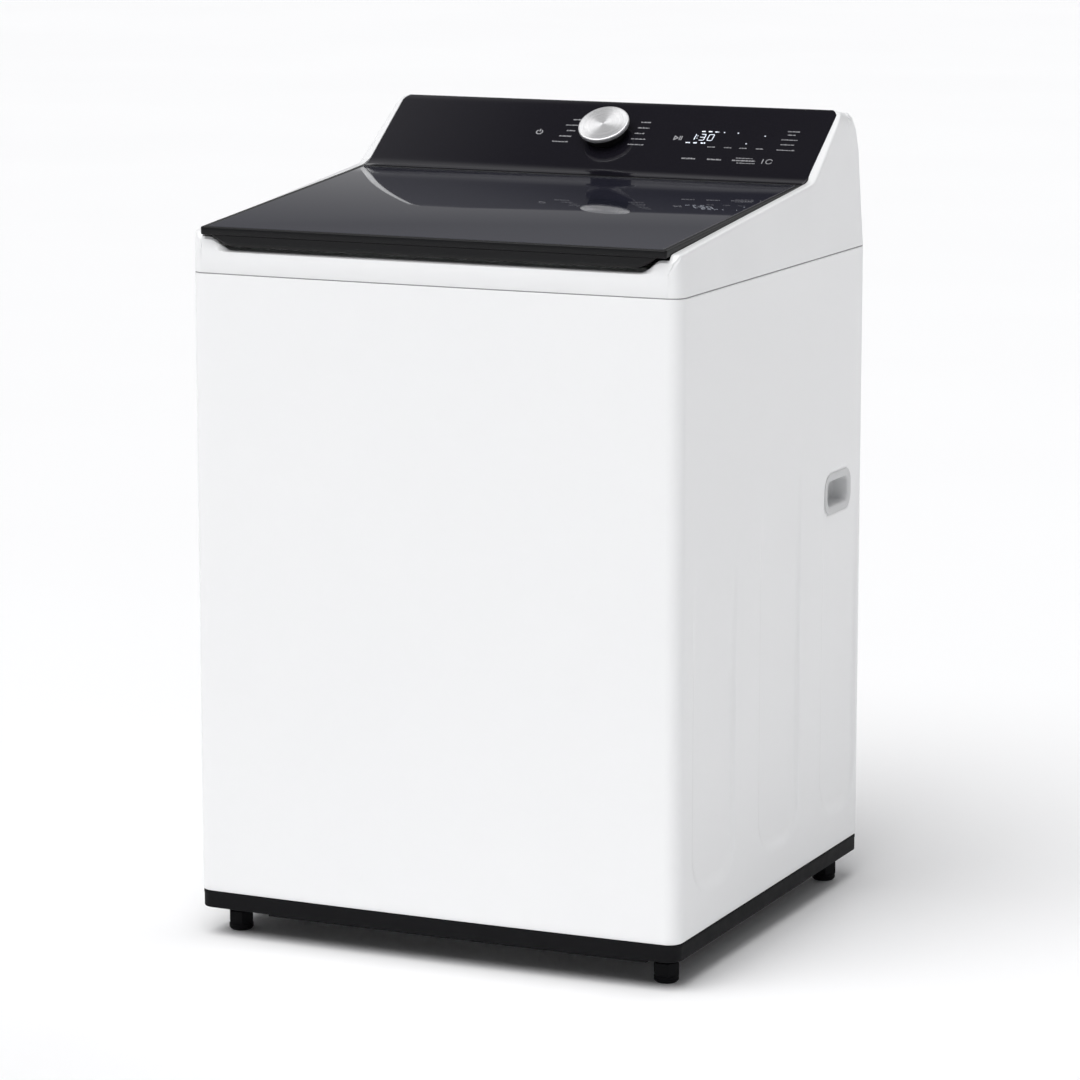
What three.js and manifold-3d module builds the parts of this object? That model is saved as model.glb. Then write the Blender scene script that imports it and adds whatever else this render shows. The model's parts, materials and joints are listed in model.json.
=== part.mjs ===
// A top-loading washing machine: millimetres, +Z up, front towards -Y, floor at Z = 0.
// The cabinet stands on four levelling feet. The tub hangs inside on four sprung rods, the basket
// and the pulsator turn inside the tub, and a direct-drive motor sits below them.
import * as THREE from "three";
import { mergeVertices } from "three/addons/utils/BufferGeometryUtils.js";
import Module from "manifold-3d";

const wasm = await Module();
wasm.setup();

// ---- driving dimensions ----
const WIDTH = 686;
const DEPTH = 648;
const BOW = 4; // the front panel bulges forward by this much
const FRONT_CORNER = 20;
const REAR_CORNER = 8;
const SHEET = 0.8; // steel sheet
const PLASTIC = 3; // moulded wall
const GAP = 0.3; // between pieces that touch
const ROUND = 28; // sides of a large round piece
const SMALL = 12; // sides of a small round piece

const FRONT = -DEPTH / 2;
const REAR = DEPTH / 2;
const BASE_LOW = 37;
const BASE_TOP = 62;
const SEAM = 883; // joint between cabinet and top cover
const SIDE_LEAN = 0.045; // the top cover's sides lean in by this much per mm of height

// side profile of the top cover
const RIM_FRONT = { y: -314, z: 937 };
const FACE_FOOT = { y: 150, z: 983.3 }; // lower edge of the control panel
const FACE_ANGLE = THREE.MathUtils.degToRad(35.5);
const FACE_LENGTH = 148;
const BAY_REAR = FACE_FOOT.y + GAP; // rear wall of the lid's bay
const TOP = { y: 281, z: 1066 }; // shoulder behind the panel's upper edge
const BACK_EDGE = { y: 284, z: 1061 }; // lower front edge of the console's back cover
const DECK_FRONT = { y: -276, z: 913 };
const DECK_SLOPE = 0.058;

// lid
const LID_HALF = 325;
const LID_FRONT = -328;
const LID_REAR = 136;
const LID_TOP = 943; // at its front edge
const LID_SLOPE = 0.0833;
const LID_THICK = 10;
const GLASS = 3.2;
const HINGE = { y: 124, z: 971.5, pin: 4.5 };

// washing unit
const TUB_R = 290;
const TUB_LOW = 205;
const TUB_HIGH = 838;
const BASKET_R = 262;
const BASKET_LOW = 240;
const BASKET_HIGH = 790;
const RING_HIGH = 834;
const MOUTH = { x: 225, front: -268, rear: 48, corner: 140, low: 862 };
const ROD = { x: 285, y: 268, r: 4, top: 866, low: 294 };
const LUG = { low: 380, high: 396 };

// feet
const FOOT = { x: WIDTH / 2 - 36, front: FRONT + 52, rear: REAR - 34, r: 17.5 };

// control knob, on the panel
const KNOB = { x: 8, s: 80, skirtR: 28.5, capR: 35.5, stand: 20 };

// side hand grips
const GRIP = { y: 232, z: 558, long: 96, tall: 54, corner: 20, rim: 10, depth: 24 };

// ---- solids ----
function solid(geometry) {
  const bare = new THREE.BufferGeometry();
  bare.setAttribute("position", geometry.getAttribute("position"));
  bare.setIndex(geometry.getIndex());
  const merged = mergeVertices(bare, 1e-4);
  const at = merged.getIndex().array;
  const faces = [];
  for (let i = 0; i < at.length; i += 3) {
    const [a, b, c] = [at[i], at[i + 1], at[i + 2]];
    if (a !== b && b !== c && c !== a) faces.push([a, b, c]);
  }
  const make = (list) =>
    new wasm.Manifold(
      new wasm.Mesh({
        numProp: 3,
        vertProperties: new Float32Array(merged.getAttribute("position").array),
        triVerts: Uint32Array.from(list.flat()),
      }),
    );
  const made = make(faces);
  return made.volume() > 0 ? made : make(faces.map(([a, b, c]) => [a, c, b]));
}

function extruded(outline, depth) {
  const shape = new THREE.Shape(outline.map(([a, b]) => new THREE.Vector2(a, b)));
  return new THREE.ExtrudeGeometry(shape, { depth, bevelEnabled: false });
}

// The outline's first axis, its second axis and the depth run along these directions.
function laid(geometry, first, second, depth, origin) {
  const basis = new THREE.Matrix4().makeBasis(first, second, depth).setPosition(origin);
  return solid(geometry.applyMatrix4(basis));
}

const X = new THREE.Vector3(1, 0, 0);
const Y = new THREE.Vector3(0, 1, 0);
const Z = new THREE.Vector3(0, 0, 1);
const UP_FACE = new THREE.Vector3(0, Math.cos(FACE_ANGLE), Math.sin(FACE_ANGLE));
const OFF_FACE = new THREE.Vector3(0, -Math.sin(FACE_ANGLE), Math.cos(FACE_ANGLE));

// A prism along Z from an outline in (x, y).
function prismZ(outline, z0, z1) {
  return laid(extruded(outline, z1 - z0), X, Y, Z, new THREE.Vector3(0, 0, z0));
}

// A prism along X from an outline in (y, z).
function prismX(outline, x0, x1) {
  return laid(extruded(outline, x1 - x0), Y, Z, X, new THREE.Vector3(x0, 0, 0));
}

// A prism along Y from an outline in (x, z).
function prismY(outline, y0, y1) {
  return laid(extruded(outline, y1 - y0), X, Z, Y.clone().negate(), new THREE.Vector3(0, y1, 0));
}

// A point on the control panel: s up the slope, n out of it.
function onFace(s, n, x = 0) {
  return new THREE.Vector3(x, FACE_FOOT.y, FACE_FOOT.z)
    .addScaledVector(UP_FACE, s)
    .addScaledVector(OFF_FACE, n);
}

// A prism standing on the control panel, from an outline in (x, s).
function prismFace(outline, n0, n1) {
  return laid(extruded(outline, n1 - n0), X, UP_FACE, OFF_FACE, onFace(0, n0));
}

function box(x0, x1, y0, y1, z0, z1) {
  const geometry = new THREE.BoxGeometry(x1 - x0, y1 - y0, z1 - z0);
  return solid(geometry.translate((x0 + x1) / 2, (y0 + y1) / 2, (z0 + z1) / 2));
}

// A turned solid about Z from a closed profile in (radius, z).
function turned(profile, sides = ROUND) {
  const points = [...profile, profile[0]].map(([r, z]) => new THREE.Vector2(r, z));
  return solid(new THREE.LatheGeometry(points, sides).rotateX(Math.PI / 2));
}

// The same, for a profile that starts and ends on the axis.
function turnedSolid(profile, sides = ROUND) {
  const points = profile.map(([r, z]) => new THREE.Vector2(r, z));
  return solid(new THREE.LatheGeometry(points, sides).rotateX(Math.PI / 2));
}

function disc(r, z0, z1, x = 0, y = 0, sides = SMALL) {
  const geometry = new THREE.CylinderGeometry(r, r, z1 - z0, sides).rotateX(Math.PI / 2);
  return solid(geometry.translate(x, y, (z0 + z1) / 2));
}

// A round bar along X.
function barX(r, x0, x1, y, z, sides = SMALL) {
  const geometry = new THREE.CylinderGeometry(r, r, x1 - x0, sides).rotateZ(Math.PI / 2);
  return solid(geometry.translate((x0 + x1) / 2, y, z));
}

// A round bar along Y.
function barY(r, x, y0, y1, z, sides = SMALL) {
  const geometry = new THREE.CylinderGeometry(r, r, y1 - y0, sides);
  return solid(geometry.translate(x, (y0 + y1) / 2, z));
}

// An upright blade through the Z axis from an outline in (radius, z), turned by this many degrees.
function blade(outline, thick, turn) {
  const geometry = extruded(outline, thick).translate(0, 0, -thick / 2).rotateX(Math.PI / 2);
  return solid(geometry.rotateZ(THREE.MathUtils.degToRad(turn)));
}

function ring(outer, inner, z0, z1, sides = ROUND) {
  return turned([[inner, z0], [outer, z0], [outer, z1], [inner, z1]], sides);
}

function joined(first, ...others) {
  return others.reduce((sum, other) => sum.add(other), first);
}

function cut(body, ...tools) {
  return tools.reduce((rest, tool) => rest.subtract(tool), body);
}

// ---- outlines ----
function arc(cx, cy, r, from, to, steps) {
  const points = [];
  for (let i = 0; i <= steps; i++) {
    const a = THREE.MathUtils.degToRad(from + ((to - from) * i) / steps);
    points.push([cx + r * Math.cos(a), cy + r * Math.sin(a)]);
  }
  return points;
}

function roundedBox(x0, x1, y0, y1, r, steps = 3) {
  return [
    ...arc(x1 - r, y1 - r, r, 0, 90, steps),
    ...arc(x0 + r, y1 - r, r, 90, 180, steps),
    ...arc(x0 + r, y0 + r, r, 180, 270, steps),
    ...arc(x1 - r, y0 + r, r, 270, 360, steps),
  ];
}

// Plan of the cabinet, drawn in by inset all round.
function plan(inset) {
  const x = WIDTH / 2 - inset;
  const front = FRONT + inset;
  const rear = REAR - inset;
  const rf = FRONT_CORNER - inset;
  const rr = Math.max(REAR_CORNER - inset, 1);
  const bowed = [];
  const steps = 8;
  for (let i = 1; i < steps; i++) {
    const u = (2 * i) / steps - 1;
    bowed.push([u * (x - rf), front - BOW * (1 - u * u)]);
  }
  return [
    ...arc(x - rr, rear - rr, rr, 0, 90, 2),
    ...arc(-x + rr, rear - rr, rr, 90, 180, 2),
    ...arc(-x + rf, front + rf, rf, 180, 270, 4),
    ...bowed,
    ...arc(x - rf, front + rf, rf, 270, 360, 4),
  ];
}

const deckZ = (y) => DECK_FRONT.z + (y - DECK_FRONT.y) * DECK_SLOPE;
const lidZ = (y) => LID_TOP + (y - LID_FRONT) * LID_SLOPE;

// ---- scene ----
const machine = new THREE.Group();

function finish(color, roughness, metalness) {
  return new THREE.MeshStandardMaterial({ color, roughness, metalness });
}

const finishes = {
  white_steel: finish(0xf2f3f4, 0.35, 0),
  white_plastic: finish(0xf3f3f4, 0.4, 0),
  grey_plastic: finish(0xc4c5c7, 0.5, 0),
  black_plastic: finish(0x1c1c1e, 0.5, 0),
  black_gloss: finish(0x131217, 0.08, 0),
  tinted_glass: finish(0x2a2b33, 0.05, 0),
  brushed_aluminium: finish(0xc9cacc, 0.3, 1),
  cast_aluminium: finish(0x999b9e, 0.55, 1),
  stainless: finish(0xb9bbbd, 0.3, 1),
  galvanised: finish(0xa9acae, 0.45, 1),
  spring_steel: finish(0x7c7e80, 0.4, 1),
  tub_plastic: finish(0xd9dadb, 0.55, 0),
  rubber: finish(0x1a1a1a, 0.9, 0),
  circuit: finish(0x1f5a35, 0.6, 0),
  copper_winding: finish(0xa4572b, 0.4, 1),
};

function add(name, shape, finishName, group = machine, place = [0, 0, 0]) {
  const { vertProperties, triVerts } = shape.getMesh();
  const geometry = new THREE.BufferGeometry();
  geometry.setAttribute("position", new THREE.BufferAttribute(vertProperties, 3));
  geometry.setIndex(new THREE.BufferAttribute(triVerts, 1));
  geometry.computeVertexNormals();
  const mesh = new THREE.Mesh(geometry, finishes[finishName]);
  mesh.name = name;
  mesh.position.set(...place);
  group.add(mesh);
}

function addGroup() {
  const group = new THREE.Group();
  machine.add(group);
  return group;
}

const SIDES = [["left", -1], ["right", 1]];
const CORNERS = [
  ["front_left", -1, -1],
  ["front_right", 1, -1],
  ["rear_left", -1, 1],
  ["rear_right", 1, 1],
];

// ---- cabinet ----
function baseFrame() {
  const width = 42;
  const brace = 70;
  const inner = [
    [WIDTH / 2 - width, FRONT + width + brace],
    [WIDTH / 2 - width, REAR - width - brace],
    [WIDTH / 2 - width - brace, REAR - width],
    [-WIDTH / 2 + width + brace, REAR - width],
    [-WIDTH / 2 + width, REAR - width - brace],
    [-WIDTH / 2 + width, FRONT + width + brace],
    [-WIDTH / 2 + width + brace, FRONT + width],
    [WIDTH / 2 - width - brace, FRONT + width],
  ];
  const rim = prismZ(plan(1), BASE_LOW + 2, BASE_TOP - GAP);
  const frame = cut(rim, prismZ(inner, BASE_LOW, BASE_TOP));
  const lipY = FRONT + 1;
  const lip = box(-240, 300, lipY, lipY + 6, BASE_LOW - 1, BASE_LOW + 3);
  const bosses = CORNERS.map(([, sx, sy]) => {
    const y = sy < 0 ? FOOT.front : FOOT.rear;
    const cone = new THREE.CylinderGeometry(22, 17, 11, SMALL).rotateX(Math.PI / 2);
    return solid(cone.translate(sx * FOOT.x, y, BASE_LOW - 3.4));
  });
  const threads = CORNERS.map(([, sx, sy]) => {
    const y = sy < 0 ? FOOT.front : FOOT.rear;
    return disc(6, 20, BASE_TOP + 1, sx * FOOT.x, y);
  });
  return cut(joined(frame, lip, ...bosses), ...threads);
}

// Corner plate that carries a suspension rod.
function gusset(sx, sy) {
  const leg = 96;
  const cx = sx * (WIDTH / 2 - SHEET / 2);
  const cy = sy * (REAR - SHEET / 2);
  const corner = 6;
  const outline = [
    [cx, cy - sy * corner],
    [cx, cy - sy * leg],
    [cx - sx * leg, cy],
    [cx - sx * corner, cy],
  ];
  const plate = prismZ(outline, 850, 852);
  return cut(plate, disc(ROD.r + 1.5, 840, 860, sx * ROD.x, sy * ROD.y));
}

function cabinetWrap() {
  const flange = 24;
  const shell = cut(
    prismZ(plan(0), BASE_TOP, SEAM - GAP),
    prismZ(plan(SHEET), BASE_TOP - 1, SEAM + 1),
  );
  const half = WIDTH / 2 - flange;
  const back = box(-half, half, REAR - 40, REAR + 5, BASE_TOP - 1, SEAM + 1);
  const open = cut(shell, back);
  const gussets = CORNERS.map(([, sx, sy]) => {
    const plate = gusset(sx, sy);
    return plate.intersect(prismZ(plan(SHEET / 2), 840, 860));
  });
  const gripHoles = SIDES.map(([, sx]) => {
    const outline = gripOutline(0);
    return prismX(outline, sx * (WIDTH / 2) - 12, sx * (WIDTH / 2) + 12);
  });
  return cut(joined(open, ...gussets), ...gripHoles);
}

function gripOutline(inset) {
  const y = GRIP.long / 2 - inset;
  const z = GRIP.tall / 2 - inset;
  const r = Math.max(GRIP.corner - inset, 4);
  return roundedBox(GRIP.y - y, GRIP.y + y, GRIP.z - z, GRIP.z + z, r);
}

function sideGrip(sx) {
  const face = sx * (WIDTH / 2 - 0.2);
  const inner = sx * (WIDTH / 2 - GRIP.depth);
  const wall = 2;
  const span = (a, b) => [Math.min(a, b), Math.max(a, b)];
  const rim = prismX(gripOutline(GAP), ...span(face, face - sx * 4));
  const cup = prismX(gripOutline(GRIP.rim - wall), ...span(face - sx, inner));
  const hollow = prismX(gripOutline(GRIP.rim), ...span(face + sx, inner + sx * wall));
  return cut(joined(rim, cup), hollow);
}

// A sheet with a stamped recess for fittings; y0 is the sheet's inner face.
function recessed(sheet, x0, x1, z0, z1, y0, y1, depth, wall) {
  const cup = box(x0 - wall, x1 + wall, y0 - depth, y1, z0 - wall, z1 + wall);
  const hollow = box(x0, x1, y0 - depth + wall, y1 + 10, z0, z1);
  return cut(joined(sheet, cup), hollow);
}

const OUTLET = { x: 216, z: 150 };

function rearPanel() {
  const y0 = REAR + GAP;
  const y1 = y0 + SHEET;
  const sheet = prismY(roundedBox(-334, 334, BASE_TOP + 3, SEAM - 3, 6, 1), y0, y1);
  const { x, z } = OUTLET;
  const panel = recessed(sheet, x - 32, x + 32, z - 32, z + 32, y0, y1, 20, 1);
  return cut(panel, barY(16, x, REAR - 40, REAR + 10, z));
}

function serviceCover() {
  const y0 = REAR + GAP + SHEET + GAP;
  const plate = prismY(roundedBox(-125, 125, 180, 470, 14, 2), y0, y0 + 1.6);
  const ribs = [230, 290, 350, 410].map((z) => box(-95, 95, y0 + 1, REAR + BOW, z, z + 12));
  return joined(plate, ...ribs);
}

// Hose spigot with its flange, pointing backwards.
function spigot(x, z, r, bore, flange, y0, y1, tail) {
  const tube = barY(r, x, tail, y1, z, 20);
  const plate = barY(flange, x, y0, y0 + 3, z, 20);
  return cut(joined(tube, plate), barY(bore, x, tail - 1, y1 + 1, z, 20));
}

function cordGland(x, z) {
  const y = REAR - 6;
  const body = joined(barY(9, x, y, REAR + BOW, z), barY(12, x, y - 6, y - 3.5, z));
  const neck = barY(7.6, x, y - 6, y + 1, z);
  return cut(joined(body, neck), barY(4, x, y - 10, REAR + 8, z));
}

function inverterBox() {
  const shell = box(-65, 65, 210, 290, 68, 160);
  const fins = [];
  for (let x = -54; x < 60; x += 21) fins.push(box(x, x + 3, 289, 304, 74, 154));
  return joined(shell, ...fins);
}

// ---- top cover ----
function leaningSides(z0, z1, inset = 0) {
  const low = WIDTH / 2 - inset;
  const high = (z) => low - (z - SEAM) * SIDE_LEAN;
  const outline = [
    [-high(z0), z0],
    [high(z0), z0],
    [high(z1), z1],
    [-high(z1), z1],
  ];
  return prismY(outline, FRONT - 20, REAR + 20);
}

const FACE_END = onFace(FACE_LENGTH, 0);

function coverProfile() {
  return [
    [FRONT - BOW - 1, SEAM],
    [REAR + 1, SEAM],
    [REAR, 900],
    [320, 1010],
    [312, 1040],
    [299, 1057],
    [TOP.y, TOP.z],
    [FACE_END.y, FACE_END.z],
    [FACE_FOOT.y, FACE_FOOT.z],
    [RIM_FRONT.y, RIM_FRONT.z],
    [FRONT + 4, 918],
    [FRONT - BOW - 1, 903],
  ];
}

// Room for the lid and the finger scoop under its front lip.
function lidRecess() {
  const lower = [
    [BAY_REAR, deckZ(BAY_REAR)],
    [DECK_FRONT.y, DECK_FRONT.z],
    [DECK_FRONT.y - 4, 906],
  ];
  const bay = prismX(
    [...lower, [-302, 914], [-340, 934], [-340, 1100], [BAY_REAR, 1100]],
    -LID_HALF - 0.7,
    LID_HALF + 0.7,
  );
  const half = 306;
  const scoop = prismX(
    [
      [DECK_FRONT.y, DECK_FRONT.z + 10],
      [DECK_FRONT.y, DECK_FRONT.z],
      [DECK_FRONT.y - 3, 905],
      [DECK_FRONT.y - 10, 901],
      [DECK_FRONT.y - 36, 901],
      [FRONT + 4, 903],
      [-340, 906],
      [-340, 950],
    ],
    -half,
    half,
  );
  return joined(bay, scoop);
}

function mouthOutline(grow) {
  const x = MOUTH.x + grow;
  return roundedBox(-x, x, MOUTH.front - grow, MOUTH.rear + grow, MOUTH.corner + grow, 5);
}

const DRAWER = { x0: -206, x1: -46, z0: 882, z1: 920, front: 50, rear: 178, travel: 100 };

// The drawer's way out through the mouth's skirt.
function drawerWay(margin) {
  const { x0, x1, z0, z1, front, travel } = DRAWER;
  const ends = [front - travel - margin, front + 12];
  return [x0 - margin, x1 + margin, ...ends, z0 - margin, z1 + margin];
}

// Room for the lip at the panel's foot.
function lipSeatProfile() {
  const { y, z } = onFace(0, -PANEL.thick - GAP);
  const front = LID_REAR + 0.5;
  return [[front, z], [y, z], [y, TOP.z], [front, TOP.z]];
}

function topCover() {
  const body = prismX(coverProfile(), -WIDTH / 2 - 5, WIDTH / 2 + 5)
    .intersect(prismZ(plan(0), SEAM, TOP.z + 10))
    .intersect(leaningSides(SEAM, TOP.z + 10));
  const t = PLASTIC;
  const under = prismX(
    [
      [FRONT - 10, SEAM - 5],
      [REAR + 20, SEAM - 5],
      [REAR + 20, TOP.z + 20],
      [BACK_EDGE.y, TOP.z + 20],
      [BACK_EDGE.y, BACK_EDGE.z],
      [BACK_EDGE.y - 8, BACK_EDGE.z - 1.5],
      [FACE_FOOT.y + 14, FACE_FOOT.z - 6],
      [BAY_REAR + t, deckZ(BAY_REAR) - t],
      [DECK_FRONT.y + 2, DECK_FRONT.z - t],
      [DECK_FRONT.y + 1, 901 - t],
      [FRONT - 10, 901 - t],
    ],
    -WIDTH,
    WIDTH,
  )
    .intersect(prismZ(plan(t), SEAM - 5, TOP.z + 30))
    .intersect(leaningSides(SEAM - 5, TOP.z + 30, t));
  const rearOpening = box(-WIDTH, WIDTH, REAR - 20, REAR + 20, SEAM - 5, 1100).intersect(
    leaningSides(SEAM - 5, 1100, t),
  );
  const backSlot = prismX(backProfile(GAP), -WIDTH, WIDTH).intersect(
    leaningSides(SEAM - 5, 1100, t),
  );
  const seatHalf = PANEL.half + GAP;
  const seat = roundedBox(-seatHalf, seatHalf, -3, FACE_LENGTH + 1, 2, 1);
  const panelSeat = prismFace(seat, -PANEL.thick - GAP, 30);
  const lipSeat = prismX(lipSeatProfile(), -seatHalf, seatHalf);
  const panelHole = prismFace(roundedBox(-312, 312, 10, FACE_LENGTH - 12, 2, 1), -40, 1);
  const skirt = prismZ(mouthOutline(t), MOUTH.low, 935);
  const shell = cut(body, under, lidRecess(), rearOpening, backSlot, panelSeat, lipSeat, panelHole);
  const skirtBelowDeck = skirt.intersect(
    prismX(
      [
        [FRONT, MOUTH.low - 1],
        [REAR, MOUTH.low - 1],
        [REAR, deckZ(REAR)],
        [DECK_FRONT.y - 20, deckZ(DECK_FRONT.y - 20)],
      ],
      -WIDTH,
      WIDTH,
    ),
  );
  const pinHoles = SIDES.map(([, sx]) => {
    const x0 = sx > 0 ? LID_HALF : -LID_HALF - 8;
    return barX(HINGE.pin + 0.6, x0, x0 + 8, HINGE.y, HINGE.z);
  });
  return cut(
    joined(shell, skirtBelowDeck),
    prismZ(mouthOutline(0), MOUTH.low - 5, 1000),
    box(...drawerWay(2)),
    lockBlock(0, SEAM - 20, TOP.z),
    ...pinHoles,
  );
}

// Rear wall of the console, in (y, z), grown by the gap.
function backProfile(grow) {
  const wall = PLASTIC;
  return [
    [REAR - wall - grow, SEAM + 1 - grow],
    [REAR + 20, SEAM + 1 - grow],
    [REAR + 20, 1100],
    [BACK_EDGE.y - grow, 1100],
    [BACK_EDGE.y - grow, BACK_EDGE.z],
    [296, 1054 - grow],
    [311 - wall, 1039],
    [320 - wall - grow, 1010],
    [REAR - wall - grow, 900],
  ];
}

const INLETS = [["hot", 210], ["cold", 270]];
const INLET_Z = 930;
const GLAND = { x: -262, z: 915 };

function consoleBack() {
  const outer = prismX(coverProfile(), -WIDTH / 2, WIDTH / 2);
  const wall = prismX(backProfile(0), -WIDTH, WIDTH)
    .intersect(outer)
    .intersect(leaningSides(SEAM, 1100, PLASTIC + GAP));
  const x0 = INLETS[0][1] - 30;
  const x1 = INLETS[1][1] + 30;
  const pocketed = recessed(wall, x0, x1, INLET_Z - 32, INLET_Z + 32, 318, 321, 22, 2.4);
  const holes = INLETS.map(([, x]) => barY(12, x, 280, 310, INLET_Z, 20));
  return cut(pocketed, ...holes, barY(9.5, GLAND.x, 300, 340, GLAND.z));
}

function inletValve(x) {
  const face = 299;
  const tube = spigot(x, INLET_Z, 11.5, 7, 15, face, 321, 262);
  const body = cut(
    box(x - 16, x + 16, 236, 264, INLET_Z - 26, INLET_Z + 16),
    barY(7, x, 250, 270, INLET_Z, 20),
  );
  return joined(tube, body);
}

// ---- lid lock, in a pocket of the deck ----
const LOCK = { x: 300, y: -200, wide: 26, long: 70, low: 893 };

function lockBlock(shrink, z0, z1) {
  const { x, y, wide, long } = LOCK;
  const a = wide / 2 - shrink;
  const b = long / 2 - shrink;
  return box(x - a, x + a, y - b, y + b, z0, z1);
}

function lidLock() {
  const { x, y, low } = LOCK;
  const slot = box(x - 5, x + 5, y - 12, y + 12, low + 3, deckZ(y) + 10);
  return cut(lockBlock(GAP, low, deckZ(y) + 1.5), slot);
}

function strike() {
  const { x, y } = LOCK;
  const post = box(x - 2.5, x + 2.5, y - 5, y + 5, 902, lidZ(y - 12) - LID_THICK - GAP);
  const foot = box(x - 7, x + 7, y - 12, y + 12, lidZ(y) - 14.3, lidZ(y) - LID_THICK - 1.4);
  return joined(post, foot);
}

// ---- console ----
const PANEL = { half: 323, thick: 4, corner: 12, foot: 13, tip: 1.1 };

// The panel's foot curves forward into a thin lip that ends level with the lid.
function footCurve() {
  const lidAngle = Math.atan(LID_SLOPE);
  const radius = PANEL.foot / Math.tan((FACE_ANGLE - lidAngle) / 2);
  const centre = onFace(PANEL.foot, radius);
  const from = THREE.MathUtils.radToDeg(FACE_ANGLE) - 90;
  const to = THREE.MathUtils.radToDeg(lidAngle) - 90;
  return arc(centre.y, centre.z, radius, from, to, 5);
}

function consolePanel() {
  const { half, thick, corner, tip } = PANEL;
  const curve = footCurve();
  const [tipY, tipZ] = curve[curve.length - 1];
  const back = onFace(0, -thick);
  const backTop = onFace(FACE_LENGTH, -thick);
  const profile = [
    [FACE_END.y, FACE_END.z],
    ...curve,
    [tipY, tipZ - tip],
    [tipY + 5, back.z + GAP],
    [back.y, back.z],
    [backTop.y, backTop.z],
  ];
  const outline = roundedBox(-half, half, -60, FACE_LENGTH, corner, 4);
  const plate = prismX(profile, -half, half).intersect(prismFace(outline, -60, 60));
  return cut(plate, knobHole(9));
}

function knobHole(r) {
  return prismFace(arc(KNOB.x, KNOB.s, r, 0, 345, 15), -60, 60);
}

function controlBoard() {
  const board = prismFace(roundedBox(-150, 300, 24, 128, 3, 1), -22, -20.4);
  const encoder = prismFace(roundedBox(KNOB.x - 14, KNOB.x + 14, KNOB.s - 14, KNOB.s + 14, 1, 1), -21, -8);
  const parts = [-110, -70, 70, 230].map((x) =>
    prismFace(roundedBox(x, x + 24, 44, 60, 1, 1), -30, -21),
  );
  return cut(joined(board, encoder, ...parts), knobHole(4.2));
}

function displayModule() {
  return prismFace(roundedBox(98, 196, 60, 104, 2, 1), -20, -5);
}

// ---- lid ----
function slab(x0, x1, y0, y1, drop0, drop1) {
  const outline = [
    [y0, lidZ(y0) - drop1],
    [y1, lidZ(y1) - drop1],
    [y1, lidZ(y1) - drop0],
    [y0, lidZ(y0) - drop0],
  ];
  return prismX(outline, x0, x1);
}

const WINDOW = { x: 250, front: -268, rear: 66 };

function lidFrame() {
  const body = slab(-LID_HALF, LID_HALF, LID_FRONT, LID_REAR, 0, LID_THICK);
  const seat = slab(-LID_HALF + 7, LID_HALF - 7, LID_FRONT + 7, LID_REAR - 7, -20, GLASS + GAP);
  const { x, front, rear } = WINDOW;
  const hole = slab(-x, x, front, rear, -2, LID_THICK + 2);
  const bosses = SIDES.map(([, sx]) => barX(9, ...ends(sx, 296, LID_HALF), HINGE.y, HINGE.z));
  const pins = SIDES.map(([, sx]) => barX(HINGE.pin + 0.4, ...ends(sx, 300, LID_HALF + 5), HINGE.y, HINGE.z));
  const trimmed = joined(cut(body, seat, hole), ...bosses);
  return cut(trimmed, seat, ...pins);
}

function ends(sx, a, b) {
  return sx > 0 ? [a, b] : [-b, -a];
}

function lidGlass() {
  const inset = 7 + GAP;
  const x = LID_HALF - inset;
  return slab(-x, x, LID_FRONT + inset, LID_REAR - inset, 0, GLASS);
}

function lidTrim() {
  const { x, front, rear } = WINDOW;
  const low = LID_THICK + GAP;
  const outer = slab(-x - 18, x + 18, front - 14, rear + 14, low, low + 6);
  return cut(outer, slab(-x + 2, x - 2, front + 2, rear - 2, low - 2, low + 8));
}

function lidHandle() {
  const top = lidZ(LID_FRONT) - LID_THICK - GAP;
  const outline = [
    [-298, top],
    [-270, 921],
    [-262, 919.5],
    [262, 919.5],
    [270, 921],
    [298, top],
  ];
  return prismY(outline, LID_FRONT + 1, LID_FRONT + 20);
}

function hingePin(sx) {
  return barX(HINGE.pin, ...ends(sx, 302, LID_HALF + 6.5), HINGE.y, HINGE.z);
}

// ---- knob ----
function knobSolid(profile) {
  const points = profile.map(([r, n]) => new THREE.Vector2(r, n));
  const geometry = new THREE.LatheGeometry(points, 24).rotateX(Math.PI / 2);
  return laid(geometry, X, UP_FACE, OFF_FACE, onFace(KNOB.s, 0, KNOB.x));
}

function knobSkirt() {
  const { skirtR, stand } = KNOB;
  return knobSolid([
    [0, 8],
    [skirtR - 3, 8],
    [skirtR - 3, 0.6],
    [skirtR, 0.6],
    [skirtR, stand - 7],
    [0, stand - 7],
  ]);
}

function knobCap() {
  const { capR, stand } = KNOB;
  return knobSolid([
    [0, stand - 7 + GAP],
    [capR - 1, stand - 7 + GAP],
    [capR, stand - 5],
    [capR, stand - 1.2],
    [capR - 1.6, stand],
    [0, stand],
  ]);
}

function knobSpindle() {
  return knobSolid([[0, -19], [3.8, -19], [3.8, 8 - GAP], [0, 8 - GAP]]);
}

// ---- washing unit ----
function outerTub() {
  const wall = 3;
  const shell = turned([
    [32, TUB_LOW],
    [TUB_R - 8, TUB_LOW],
    [TUB_R, TUB_LOW + 8],
    [TUB_R, TUB_HIGH],
    [TUB_R - wall, TUB_HIGH],
    [TUB_R - wall, TUB_LOW + 9],
    [TUB_R - 9, TUB_LOW + wall],
    [32, TUB_LOW + wall],
  ]);
  const lugs = CORNERS.map(([, sx, sy]) => lug(sx, sy));
  const drain = disc(12, TUB_LOW - 5, TUB_LOW + 8, PUMP.x, PUMP.y);
  return cut(joined(shell, ...lugs), drain);
}

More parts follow.
